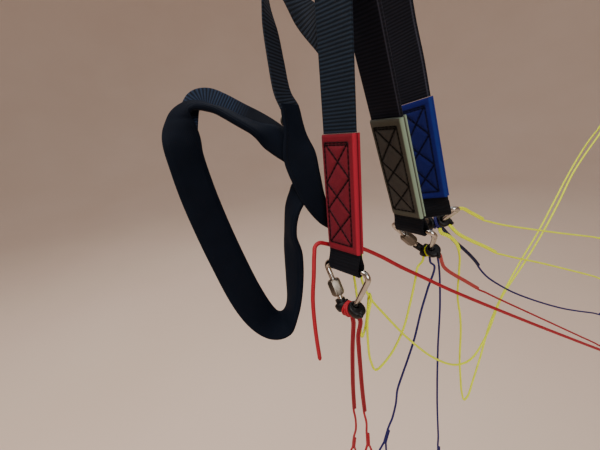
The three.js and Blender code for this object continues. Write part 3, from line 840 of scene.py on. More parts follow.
@dataclass
class QuickLink:
    """A steel quick link on a riser's eye, with its sleeve, rubber insert and wound line loops.

    Each of the insert's two rings is given as its share of the foot, its radius and how far it hangs
    below the wire, and the rows of its rim as steps from there and shares of both.
    """

    key: str
    seat: Vector
    axes: Matrix
    line: Finish
    slot: str
    wire: float = 2.0
    half_width: float = 20.0
    apex: float = 42.0
    corner: float = 4.0
    bend_step: float = 0.14
    foot: float = 7.2
    sleeve: Triple = (15.5, 12.0, 8.5)
    bore: float = 2.3
    gate: Pair = (20.0, 24.5)
    thread_points: int = 54
    thread_pitch: float = 0.7
    thread_depth: float = 0.14
    core: float = 4.3
    lead: float = 3.0
    line_radius: float = 0.9
    rings: tuple[Triple, Triple] = ((0.2, 6.2, 2.0), (0.71, 5.6, 1.5))
    rim: tuple[Triple, ...] = (
        (-0.1, 0.55, 0.35), (-0.1, 0.78, 0.6), (-0.085, 0.92, 0.85), (-0.055, 1.0, 1.0),
        (0.0, 1.02, 1.0), (0.055, 1.0, 1.0), (0.085, 0.88, 0.8), (0.095, 0.74, 0.55),
    )
    knob_at: float = 0.13
    knobs: tuple[Triple, ...] = ((6.6, 1.9, 0.2), (8.2, 1.7, 0.42))
    wound: float = 11.2
    pad_end: float = 0.9
    pad_inside: float = 2.5
    pad_core: float = 3.7
    pad_hang: float = 0.8

    def __post_init__(self) -> None:
        """Work out the link's own corners."""
        self.body = f"link_{self.key}"
        self.left = Vector((-self.half_width, 0, 0))
        self.right = Vector((self.half_width, 0, 0))
        self.bottom = Vector((0, 0, -self.apex))
        self.leg = (self.bottom - self.left).normalized()
        self.lean = math.atan2(self.half_width, self.apex)
        self.foot_sweep = math.pi - 2 * self.lean
        self.foot_centre = Vector((0, 0, self.foot / math.sin(self.lean) - self.apex))
        self.wrap_outer = self.core + CONTACT + 2 * self.line_radius

    def world(self, point: Vector) -> Vector:
        """Return a point of the link's own frame in the part's frame."""
        return self.seat + self.axes @ point

    def set_in_place(self, stations: Sequence[Station]) -> list[Station]:
        """Return stations of the link's own frame in the part's frame."""
        return measured([
            Station(self.world(s.point), self.axes @ s.across, self.axes @ s.through)
            for s in stations
        ])

    def rounded(self, before: Vector, corner: Vector, after: Vector, radius: float) -> list[Vector]:
        """Round a corner of the wire.

        Args:
            before: The point before the corner.
            corner: The corner.
            after: The point after it.
            radius: The bend's radius.

        Returns:
            Points along the bend.
        """
        a, b = (before - corner).normalized(), (after - corner).normalized()
        half = a.angle(b) / 2
        centre = corner + (a + b).normalized() * radius / math.sin(half)
        first = corner + a * radius / math.tan(half) - centre
        last = corner + b * radius / math.tan(half) - centre
        turn = math.pi - 2 * half
        count = math.ceil(turn / self.bend_step)
        return [
            centre + first * math.sin((1 - i / count) * turn) / math.sin(turn)
            + last * math.sin(i / count * turn) / math.sin(turn)
            for i in range(count + 1)
        ]

    def wire_points(self) -> list[Vector]:
        """Return the wire's centreline, from one end of the gate round to the other."""
        step = self.thread_pitch / 4
        points = [self.left + self.leg * (self.gate[0] - step * i) for i in range(self.thread_points)]
        points += self.rounded(self.bottom, self.left, self.right, self.corner)
        points += self.rounded(self.left, self.right, self.bottom, self.corner)
        points += self.rounded(self.right, self.bottom, self.left, self.foot)
        return [*points, self.left + self.leg * self.gate[1]]

    def build_wire(self) -> None:
        """Draw the wire, with the screw thread that the sleeve runs on."""
        points = self.wire_points()
        last = len(points) - 1
        across = Vector((0, 1, 0))
        stations = []
        for i, p in enumerate(points):
            heading = (points[min(last, i + 1)] - points[max(0, i - 1)]).normalized()
            stations.append(Station(p, across, heading.cross(across)))

        def ring(i: int) -> Ring:
            """Return the wire's section, a little thinner in the thread's grooves."""
            grooved = i < self.thread_points - 2 and i % 4 >= 2
            return round_ring(self.wire - self.thread_depth * grooved, 20)

        Piece(LINK_STEEL, "stainless_steel", self.body, (f"link_{self.key}_body",)).draw(
            f"link_{self.key}_wire", sweep(self.set_in_place(stations), ring), 50)

    def build_sleeve(self) -> None:
        """Draw the hexagonal sleeve, turned down to a cone at both ends."""
        start, length, flats = self.sleeve
        sides = 48

        def outline(limit: float) -> Ring:
            """Return the hexagon, held inside a circle."""
            made = []
            for k in range(sides):
                a = math.tau * k / sides
                off = (a + math.pi / 6) % (math.pi / 3) - math.pi / 6
                r = min(flats / 2 / math.cos(off), limit)
                made.append((r * math.cos(a), r * math.sin(a)))
            return made

        cone = [(0.0, 3.75), (0.35, 4.1), (1.5, 4.85)]
        outer = [*cone, (length / 2, 4.85), *[(length - z, r) for z, r in reversed(cone)]]
        hole = round_ring(self.bore, sides)
        rows = [(0.0, hole), *[(z, outline(r)) for z, r in outer], (length, hole)]
        across = Vector((0, 1, 0))
        stations = [
            Station(self.left + self.leg * (start + z), across, self.leg.cross(across))
            for z, _ in rows
        ]
        bm = sweep(self.set_in_place(stations), lambda i: rows[i][1], closed=True)
        Piece(SLEEVE_STEEL, "sleeve_steel", f"sleeve_{self.key}",
              (f"link_{self.key}_sleeve",)).draw(f"link_{self.key}_nut", bm, 25)

    def foot_station(self, share: float) -> Station:
        """Return a station along the insert, which follows the link's foot."""
        length = self.foot_sweep * self.foot
        run = share * (length + 2 * self.lead) - self.lead
        on_arc = min(max(run, 0.0), length)
        angle = on_arc / self.foot - self.foot_sweep / 2
        heading = Vector((-math.cos(angle), 0, math.sin(angle)))
        out = Vector((-math.sin(angle), 0, -math.cos(angle)))
        point = self.foot_centre + out * self.foot + heading * (run - on_arc)
        across = Vector((0, 1, 0))
        return Station(point, across, heading.cross(across))

    def build_insert(self) -> None:
        """Draw the rubber insert: a core between two rings that hang a little below the wire."""
        core = (self.pad_core, self.pad_hang)
        first, last = self.rings[0][0] - 0.1, self.pad_end
        rows: list[Triple] = [(first, 3.2, 0.3)]
        for middle, radius, hang in self.rings:
            rows += [(middle + off, radius * size, hang * share) for off, size, share in self.rim]
            rows.append((middle + 0.1, *core))
        rows.append((last, *core))
        rows += [(last - (last - first) * k / 20, self.pad_inside, 0.0) for k in range(21)]
        stations = self.set_in_place([self.foot_station(share) for share, _, _ in rows])
        bm = sweep(stations, lambda i: [(x, y + rows[i][2]) for x, y in round_ring(rows[i][1], 28)],
                   closed=True)
        Piece(INSERT_RUBBER, "link_rubber", self.body, (f"link_{self.key}_insert",)).draw(
            f"link_{self.key}_rubber", bm)
        knob = bmesh.new()
        root = self.set_in_place([self.foot_station(self.knob_at)])[0]
        for reach, radius, side in self.knobs:
            centre = root.point + (root.across * -side + root.through).normalized() * reach
            bmesh.ops.create_icosphere(knob, subdivisions=3, radius=radius * MM,
                                       matrix=Matrix.Translation(centre * MM))
        Piece(INSERT_RUBBER, "link_rubber", self.body).draw(f"link_{self.key}_rubber_knob", knob)

    def build_wrap(self) -> None:
        """Wind the lines' end loops round the insert's core."""
        first, last = self.rings[0][0] + 0.125, self.rings[1][0] - 0.125
        per_turn = 18
        count = int(self.wound * (last - first) * per_turn)
        reach = self.pad_core + CONTACT + self.line_radius
        points = []
        for i in range(count + 1):
            s = self.foot_station(first + (last - first) * i / count)
            angle = math.tau * i / per_turn
            spot = s.across * math.cos(angle) + s.through * math.sin(angle)
            points.append(tuple(self.world(s.point + s.through * self.pad_hang + spot * reach)))
        stations = cord_stations(Route(tuple(points)), even_shares(count * 2))
        Piece(self.line, self.slot, self.body, (f"line_{self.key}_wrap",)).draw(
            f"line_{self.key}_loops", cord_skin(stations, self.line_radius))

    def build(self) -> None:
        """Build every piece of the link."""
        self.build_wire()
        self.build_sleeve()
        self.build_insert()
        self.build_wrap()

    def line_start(self, round_foot: float, round_wire: float) -> tuple[Vector, Vector]:
        """Find where a line leaves the wound loops.

        Args:
            round_foot: Degrees round the link's foot.
            round_wire: Degrees round its wire.

        Returns:
            The point, and the direction it leaves in, in the part's frame.
        """
        a, b = math.radians(round_foot), math.radians(round_wire)
        out = Vector((-math.sin(a), 0, -math.cos(a)))
        leave = out * math.cos(b) + Vector((0, math.sin(b), 0))
        point = self.foot_centre + out * self.foot + leave * (self.wrap_outer + CONTACT)
        return self.world(point), self.axes @ leave


# Risers


ALONG_X: Triple = (1, 0, 0)


@dataclass
class Riser:
    """One riser: its webbing, the stitched cover, the eye and the quick link.

    The pairs puff, pinch and groove say how far the cover's cloth stands out between the seams, how
    far a seam draws it in and how dark its painted shade is, each with the distance that it reaches.
    """

    key: str
    route: BandRoute
    tab: Triple
    up: Triple
    across: Triple
    turn: float
    swing: float
    cover: CoverCloth
    cover_slot: str
    thread: Thread
    line: Finish
    line_slot: str
    band: RibbedWebbing = WEBBING
    rings: tuple[Triple, Triple] | None = None
    pad_core: float = 3.7
    steps: int = 120
    width: float = 25.0
    thick: float = 1.8
    cover_size: Triple = (27.0, 6.0, 75.0)
    eye_drop: float = 13.0
    margins: Quad = (3.5, 5.4, 5.0, 4.8)
    puff: Pair = (0.55, 3.2)
    pinch: Pair = (0.38, 0.8)
    groove: Pair = (0.8, 0.62)
    margin_swell: float = 0.55
    face_depth: float = 0.9
    lip_width: float = 1.7
    stitch: Triple = (3.0, 0.25, 0.4)
    left_marks: tuple[float, ...] = (0.0, 0.38, 0.645, 1.0)
    right_marks: tuple[float, ...] = (0.0, 0.32, 0.67, 1.0)

    def __post_init__(self) -> None:
        """Work out the cover's axes, its foot and the link's place."""
        z = Vector(self.up).normalized()
        x = Vector(self.across)
        x = (x - x.dot(z) * z).normalized()
        self.x, self.y, self.z = x, z.cross(x), z
        self.foot = Vector(self.tab) - z * self.cover_size[2]
        turn = Matrix.Rotation(math.radians(self.turn), 3, z)
        bar = turn @ x
        up = Matrix.Rotation(math.radians(self.swing), 3, bar) @ z
        axes = Matrix((bar, up.cross(bar), up)).transposed()
        seat = self.foot - z * self.eye_drop
        self.link = QuickLink(self.key, seat, axes, self.line, self.line_slot)
        if self.rings:
            self.link.rings, self.link.pad_core = self.rings, self.pad_core

    def build_webbing(self) -> None:
        """Draw the webbing from the junction to the top of its cover."""
        draw_band(f"riser_{self.key}_band", f"riser_{self.key}_webbing", self.band,
                  self.route.stations(self.steps), flat_ring(self.width, self.thick, bead=0.35))

    def stitch_box(self) -> Quad:
        """Return the stitched box's left, right, foot and top on the cover's face."""
        width, _, length = self.cover_size
        left, right, foot, top = self.margins
        return left - width / 2, width / 2 - right, foot, length - top

    def stitch_lines(self) -> list[list[Pair]]:
        """Return the cover's stitching as lines of width and height on its face."""
        left, right, low, high = self.stitch_box()
        box = [(left, low), (right, low), (right, high), (left, high), (left, low)]
        lines = [box, [(left, high - 1.3), (right, high - 1.3)]]

        def mark(side: float, share: float) -> Pair:
            """Return a point on a side of the box, counted down from its top."""
            return side, high - (high - low) * share

        for i in range(3):
            a, b = self.left_marks[i : i + 2]
            c, d = self.right_marks[i : i + 2]
            lines.append([mark(left, a), mark(right, d)])
            lines.append([mark(right, c), mark(left, b)])
        return lines

    def pucker(self, x: float, z: float) -> Triple:
        """Find how the stitching shapes the cover's face.

        Args:
            x: Place across the face.
            z: Place up it.

        Returns:
            How far the cloth stands out, how much it is pressed, and how much painted shade its seam gives
            it.
        """
        near = math.inf
        for line in self.stitch_lines():
            for (ax, az), (bx, bz) in zip(line, line[1:]):
                dx, dz = bx - ax, bz - az
                t = held(((x - ax) * dx + (z - az) * dz) / (dx * dx + dz * dz))
                near = min(near, math.hypot(x - ax - dx * t, z - az - dz * t))
        left, right, low, high = self.stitch_box()
        inside = min(x - left, right - x, z - low, high - z)
        puff, puff_reach = self.puff
        pinch, pinch_reach = self.pinch
        groove, groove_reach = self.groove
        swell = puff * min(near / puff_reach, 1.0) - pinch * bell(near / pinch_reach)
        swell *= 1.0 if inside > 0 else self.margin_swell
        return swell, held(inside / 0.8 + 0.5), groove * bell(near / groove_reach)

    def cover_ring(self, z: float) -> Ring:
        """Return the cover's section at a height: rolled left edge, two free edges at the right."""
        width, thick, length = self.cover_size
        w, t = width / 2, thick / 2
        end = min(z, length - z)
        tuck = 0.35 * bell(end / 0.7)
        front = []
        for k in range(42):
            x = -w + t + (width - t - 2.2) * k / 41
            front.append((x, -t + tuck - self.pucker(x, z)[0]))
        lip = [(w - 1.5, -t + 0.05), (w - 0.6, -t + 0.45), (w - 0.1, -t + 1.2), (w - 0.25, -1.1),
               (w - 0.9, -0.45), (w - 2.4, 0.0)]
        right = [*lip, *[(x, -y) for x, y in reversed(lip[:-1])]]
        back = [(x, -y) for x, y in reversed(front)]
        roll = [(-w + t - (t - tuck) * math.sin(a), (t - tuck) * math.cos(a))
                for a in (math.pi * k / 8 for k in range(1, 8))]
        return [*front, *right, *back, *roll]

    def build_cover(self) -> None:
        """Draw the cover, puckered by its stitching, and sew both faces."""
        width, thick, length = self.cover_size
        heights = [length * share for share in even_shares(150)]
        stations = measured([Station(self.foot + self.z * h, self.x, self.y) for h in heights])
        rings = [self.cover_ring(h) for h in heights]
        bm = sweep(stations, lambda i: rings[i])
        made = to_mesh(f"riser_{self.key}_cover", bm, 70)
        values: dict[str, list[float]] = {"pressed": [], "seam": [], "painted_highlight_edge": []}
        for v in made.data.vertices:
            local = v.co / MM - self.foot
            x, y, z = local.dot(self.x), abs(local.dot(self.y)), local.dot(self.z)
            _, pressed, seam = self.pucker(x, z)
            flat = abs(y - thick / 2) < self.face_depth
            values["pressed"].append(pressed * flat)
            values["seam"].append(seam * flat)
            # The free edges' ridges get a painted highlight
            lip = x > width / 2 - self.lip_width and y > self.face_depth
            values["painted_highlight_edge"].append(float(lip))
        for name, shares in values.items():
            made.data.attributes.new(name, "FLOAT", "POINT").data.foreach_set("value", shares)
        Piece(self.cover, self.cover_slot, nodes=(f"riser_{self.key}_tab",)).place(made)
        sewn = bmesh.new()
        for side in (-1, 1):
            face = self.foot + self.y * side * (thick / 2 - 0.08)
            for line in self.stitch_lines():
                points = [face + self.x * x + self.z * z for x, z in line]
                stitch_row(sewn, points, self.y * side, *self.stitch)
        Piece(self.thread, self.cover_slot).draw(f"riser_{self.key}_cover_stitches", sewn)

    def eye_route(self) -> BandRoute:
        """Return the route of the webbing that folds round the link's bar."""
        legs = self.thick / 2 + CONTACT
        bend = self.link.wire + CONTACT + self.thick / 2
        straight, turned = 2.5, 10.0
        profile = [(-legs, CONTACT), (-legs, straight), (-legs - 0.7, 5.6), (-bend, 9.5),
                   (-bend, self.eye_drop)]
        arc = [(bend * math.sin(math.radians(a)), self.eye_drop + bend * math.cos(math.radians(a)))
               for a in (-60, -30, 0, 30, 60)]
        rows = []
        for side, drop in [*profile, *arc, *[(-n, s) for n, s in reversed(profile)]]:
            angle = math.radians(self.turn) * eased((drop - straight) / (turned - straight))
            turn = Matrix.Rotation(angle, 3, self.z)
            across, through = turn @ self.x, turn @ self.y
            rows.append((tuple(self.foot - self.z * drop + through * side), tuple(across)))
        return BandRoute(tuple(rows))

    def build_eye(self) -> None:
        """Draw the eye."""
        draw_band(f"riser_{self.key}_fold", f"riser_{self.key}_eye", FOLDED_WEBBING,
                  self.eye_route().stations(72), flat_ring(self.width, self.thick, bead=0.3))

    def build(self) -> None:
        """Build the riser from the top down."""
        self.build_webbing()
        self.build_cover()
        self.build_eye()
        self.link.build()


def risers() -> dict[str, Riser]:
    """Return the three risers, front to rear."""
    second, third = 2.1, 4.2
    front = Riser(
        "a",
        BandRoute((((0, 0, -62), ALONG_X), ((0, 0, -160), ALONG_X), ((0, 0, -270), ALONG_X),
                   ((0, 0, -374.7), ALONG_X))),
        (0, 0, -375), (0, 0, 1), ALONG_X, 0, 0, RED_COVER, "tab_red", RED_THREAD, RED_LINE,
        "line_red",
    )
    middle = Riser(
        "b",
        BandRoute((((0, second, -62), ALONG_X), ((0, second, -150), ALONG_X),
                   ((0, second, -235), ALONG_X), ((0.3, 2.5, -258), ALONG_X),
                   ((2.6, 6.2, -277), (0.995, -0.04, 0)), ((4.9, 15.6, -303.2), (0.994, -0.08, 0.01)),
                   ((6.6, 26.8, -336.1), (0.99, -0.1, 0.01)), ((8.3, 37.7, -368.8), (0.99, -0.11, 0.01)))),
        (8.3, 37.8, -369.1), (-0.05, -0.32, 0.946), (0.99, -0.11, 0.01), 0, 20, OLIVE_COVER,
        "tab_olive", OLIVE_THREAD, YELLOW_LINE, "line_yellow", SHADED_REAR_WEBBING,
        ((0.17, 5.8, 1.6), (0.55, 5.6, 1.4)), 3.0,
    )
    rear = Riser(
        "c",
        BandRoute((((0, third, -62), ALONG_X), ((0, third, -84), ALONG_X), ((0, third, -106), ALONG_X),
                   ((0, 4.3, -128), ALONG_X), ((-0.6, 7, -147), (1, 0, 0.01)),
                   ((-2.4, 15.5, -172), (1, 0, 0.04)), ((-5.8, 32, -202), (0.99, 0, 0.09)),
                   ((-9.6, 52, -236), (0.985, 0.01, 0.14)), ((-10.4, 69, -272), (0.983, 0.03, 0.17)),
                   ((-7, 78, -308), (0.983, 0.045, 0.176)), ((-1.6, 81.6, -335), (0.983, 0.049, 0.176)),
                   ((2.75, 84.17, -359.5), (0.983, 0.049, 0.176)))),
        (2.8, 84.2, -359.8), (-0.17, -0.1, 0.98), (0.983, 0.049, 0.176), 25, 55, BLUE_COVER,
        "tab_blue", BLUE_THREAD, NAVY_LINE, "line_navy", SHADED_REAR_WEBBING,
        ((0.18, 5.8, 1.6), (0.66, 5.6, 1.4)),
    )
    return {"a": front, "b": middle, "c": rear}


# Lines


class Course(Enum):
    """How a line runs from its link."""

    AWAY = "held by something outside the photograph"
    HANGING = "hangs free"


@dataclass(frozen=True)
class Line:
    """One line: where it leaves its link, its finish, its sewn length and its route."""

    name: str
    riser: str
    leave: Pair
    finish: Finish
    slot: str
    sewn: float
    course: Course
    blend_by: Triple
    points: tuple[Triple, ...]
    steps: int = 150
    worn: float = 1.0
    inset: float = 1.2
    lead: float = 4.0
    radius: float = 0.9
    spread: float = 0.78
    opening: float = 6.0
    fade: float = 0.5
    tack: float = 0.05
    tack_pitch: float = 3.2
    rejoin: float = 12.0
    eye: float = 15.0
    eye_sewn: float = 14.0
    split: float = 0.0

    @property
    def side(self) -> Triple:
        """Return the direction from strand to strand where the line is doubled."""
        return (0, 0, 1) if self.course is Course.AWAY else (0.68, 0.73, -0.1)

    def route(self, link: QuickLink) -> Route:
        """Return the line's route, which starts a little inside the wound loops."""
        start, out = link.line_start(*self.leave)
        ends = (tuple(start - out * self.inset), tuple(start + out * self.lead))
        return Route((*ends, *self.points), Flow.CENTRIPETAL)

    def lobes(self, run: float, total: float) -> Pair:
        """Find how the line is doubled at a distance along it.

        Args:
            run: Distance from the line's start.
            total: Its whole length.

        Returns:
            How far each strand lies from the middle, and how much there is of the second one.
        """
        if run < self.sewn:
            return self.spread * eased((run + self.opening / 2) / self.opening), 1.0
        past = run - self.sewn
        back = total - self.eye - self.eye_sewn - run
        if back < 0:
            return self.spread, held(-back / self.fade)
        if past < self.fade and self.sewn:
            return self.spread, 1 - past / self.fade
        near = self.spread * (1 - eased(past / self.rejoin)) if self.sewn else 0.0
        return max(near, self.spread * (1 - eased(back / self.rejoin))), 0.0

    def section(self, run: float, total: float, sides: int = 16) -> Ring:
        """Return the section at a distance along the line, of one strand or two side by side."""
        spread, second = self.lobes(run, total)
        tack = 1 + self.tack * second * math.sin(math.tau * run / self.tack_pitch)
        made = []
        for k in range(sides):
            a = math.tau * k / sides
            reach = spread * abs(math.cos(a))
            reach += math.sqrt(self.radius**2 - (spread * math.sin(a)) ** 2)
            single = (self.radius * math.cos(a) - spread, self.radius * math.sin(a))
            double = (reach * math.cos(a), reach * math.sin(a) * tack)
            made.append(tuple(p * (1 - second) + q * second for p, q in zip(single, double)))
        return made

    def changes(self, total: float) -> list[float]:
        """Return the distances where the line is doubled and where it is single again."""
        marks = [total - self.eye - self.eye_sewn] + ([self.sewn] if self.sewn else [])
        return [mark + step for mark in marks for step in (-0.6, -0.1, 0.05, 0.3, 0.55, 0.7)]

    def draw(
        self, name: str, stations: Sequence[Station], total: float, offset: float = 0.0
    ) -> bpy.types.Object:
        """Draw the line's skin along stations.

        Args:
            name: The piece's name.
            stations: Where it goes.
            total: The whole line's length.
            offset: The first station's distance along the line.

        Returns:
            The skin, whose sewn attribute says where it is doubled.
        """
        runs = [s.run + offset for s in stations]
        rings = [self.section(run, total) for run in runs]
        made = to_mesh(name, sweep(stations, lambda i: rings[i], girth=LINE_GIRTH), 60)
        sides = len(rings[0])
        sewn = made.data.attributes.new("sewn", "FLOAT", "POINT")
        shares = [self.worn * float(run < self.sewn) for run in runs for _ in range(sides)]
        sewn.data.foreach_set("value", shares)
        return made

    def build_eye(self, tip: Station, heading: Vector) -> bpy.types.Object:
        """Draw the sewn loop at the line's far end.

        Args:
            tip: The line's last station, where its loop begins.
            heading: The direction that the line runs in there.

        Returns:
            The loop.
        """
        rows = ((0.0, 0.78), (0.3, 1.9), (0.62, 2.9), (0.88, 2.1), (1.0, 0.0), (0.88, -2.1),
                (0.62, -2.9), (0.3, -1.9), (0.0, -0.78))
        points = tuple(
            tuple(tip.point + heading * ((self.eye - 1) * along - 1) + tip.across * side)
            for along, side in rows
        )
        stations = cord_stations(Route(points, Flow.CENTRIPETAL), even_shares(48))
        return Piece(self.finish, self.slot).draw(f"{self.name}_far_eye",
                                                  cord_skin(stations, self.radius))

    def build(self, links: dict[str, QuickLink]) -> None:
        """Args:
            links: The quick links by riser.
        """
        link = links[self.riser]
        route = self.route(link)
        fine = 1200
        whole = cord_stations(route, even_shares(fine))
        total = whole[-1].run

        def share(run: float) -> float:
            """Return the share of the route at a distance along it."""
            return next(i for i, s in enumerate(whole) if s.run >= run) / fine

        end = share(total - self.eye)
        start_point, out = link.line_start(*self.leave)
        blend = (f"link_{self.riser}", ROOT, tuple(start_point),
                 tuple(start_point + Vector(self.blend_by)))
        node = (self.name,)
        first = 0.0
        if self.split:
            first = share(self.split)
            short = cord_stations(route, even_shares(24, 0.0, first), self.side)
            lead_blend = (*blend[:2], blend[2], tuple(short[-1].point))
            Piece(self.finish, self.slot, blend=lead_blend, nodes=node).place(
                self.draw(f"{self.name}_lead", short, total))
        extra = [share(run) for run in self.changes(total)]
        shares = sorted({*even_shares(self.steps, first, end), *extra})
        stations = cord_stations(route, shares, self.side)
        shape = self.draw(f"{self.name}_run", stations, total, self.split)
        made = Piece(self.finish, self.slot, nodes=node, blend=None if self.split else blend).place(shape)
        self.build_eye(stations[-1], route.heading(end))


def lines() -> tuple[Line, ...]:
    """Return the lines that leave the three links."""
    away, hanging = Course.AWAY, Course.HANGING
    red, faded = (RED_LINE, "line_red"), (FADED_RED_LINE, "line_red")
    navy, yellow = (NAVY_LINE, "line_navy"), (YELLOW_LINE, "line_yellow")
    return (
        Line("line_a_red_left", "a", (-13, 0), *red, 91, hanging, (0, 0, -130),
             ((3.5, 0, -514), (2.3, 0, -527.3), (1.3, 0, -546.8), (0.7, 0, -572.4),
              (1.1, 0, -593.6), (1.8, 0, -611), (-0.9, 0, -630.1), (-3.9, 0, -655.7))),
        Line("line_a_red_right", "a", (-29, 12), *red, 91, hanging, (0, 0, -130),
             ((6.8, 1.6, -516.9), (6.5, 2, -529.9), (7.1, 2, -544.6), (8.2, 2, -568.5),
              (9.8, 2, -588.3), (11.5, 2, -604.3), (12.1, 2, -619.7), (12.2, 2, -641.1))),
        Line("line_b_navy_hanging", "b", (-22, -42), *navy, 0, hanging, (-5, -22, -90),
             ((24, 84.8, -489.9), (22.7, 77, -508.6), (21.4, 69.8, -526), (20.6, 60.8, -549.6),
              (19.1, 54, -566), (17.3, 47, -581.8), (16.1, 41.3, -595), (16.6, 38.1, -607),
              (16.2, 34.4, -618.1), (15.1, 29.4, -630.1), (14, 24.5, -643.6), (13.5, 19.3, -658.9))),
        Line("line_b_red_away", "b", (-24, 20), *faded, 75, away, (30, 55, -60),
             ((24, 107, -501), (36, 126, -519), (49, 147, -537), (85, 203, -580), (133, 275, -635),
              (147, 296, -650))),
        Line("line_b_yellow", "b", (8, -40), *yellow, 0, hanging, (0, 0, -30),
             ((13.8, 76, -490.7), (13.7, 72.3, -502.4), (13.3, 65.5, -521.2), (12.7, 56.4, -540.7),
              (11.1, 43.9, -555.4), (9.3, 32.7, -562.3), (7.3, 22.3, -564.2), (5.2, 18, -552.3),
              (4.3, 16.6, -534.2), (3.9, 17.5, -514.3), (3.8, 22.6, -499.3), (2.5, 24.1, -497),
              (0.3, 26.1, -496.8), (-1.4, 27.5, -498.8), (-1.8, 27.4, -501.7),
              (-0.9, 24.1, -512.9), (-0.2, 20.2, -523.5), (1, 13.8, -529.1), (0, 13.1, -518.3),
              (-2.9, 15.5, -505.4), (-5.4, 16.8, -491.9), (-7.3, 17.3, -479), (-8.4, 17.8, -463),
              (-9.2, 18.8, -456.4), (-5.1, 20.3, -452.9), (-1.7, 19.2, -456.3), (-2, 19.6, -468),
              (-3, 21.4, -484), (1, 25, -499), (9, 34, -517), (21, 52, -546), (33, 74, -573),
              (43, 99, -592), (49, 123, -597), (52, 152, -585), (53, 186, -560), (61, 229, -533),
              (67, 266, -509), (72, 302, -482), (76, 337, -455), (84, 378, -428), (96, 425, -397)),
             steps=420, split=24.0),
        Line("line_c_yellow_upper", "c", (-22, 58), *yellow, 60, away, (25, 75, -25),
             ((20, 145, -456), (25, 160, -464), (36, 178, -476), (71, 247, -501), (112, 325, -526),
              (125, 349, -534))),
        Line("line_c_yellow_lower", "c", (-30, 14), *yellow, 75, away, (30, 60, -40),
             ((22, 137, -478), (30, 148, -487), (39, 163, -497), (48, 179, -508), (77, 234, -533),
              (120, 309, -569), (134, 332, -581))),
        Line("line_c_yellow_drooping", "c", (-18, -62), *yellow, 32, hanging, (6, 45, -39),
             ((19.4, 122.4, -476.4), (23.8, 128, -483.2), (26.8, 131.5, -493.8),
              (27.8, 131.3, -512.2), (29.3, 128.6, -539.7), (33.2, 127.6, -557.9),
              (35.5, 126.2, -573.5), (38.5, 121.5, -605.2), (41.6, 119.3, -625.8),
              (44, 118.5, -640.5), (46.5, 120.3, -650.4), (47.9, 126.8, -648.6),
              (48, 134.6, -639.9), (48.6, 151.3, -616.2), (48, 174, -589), (50, 201, -566),
              (55, 239, -539), (61, 277, -514), (66, 315, -486), (71, 350, -458), (79, 393, -426),
              (92, 441, -394)), steps=300),
        Line("line_c_navy_away", "c", (-20, -24), *navy, 60, away, (30, 55, -55),
             ((21, 132, -484), (28, 141, -495), (36, 149, -508), (43, 156, -523), (55, 173, -540),
              (67, 193, -555), (96, 242, -584), (127, 300, -610), (141, 323, -620))),
        Line("line_c_navy_hanging", "c", (20, -55), *navy, 0, hanging, (12, -20, -110),
             ((14, 117, -502), (20, 111, -538), (24, 103, -588), (30, 94, -642), (37, 88, -699),
              (39, 85, -723))),
    )


# Brake handle


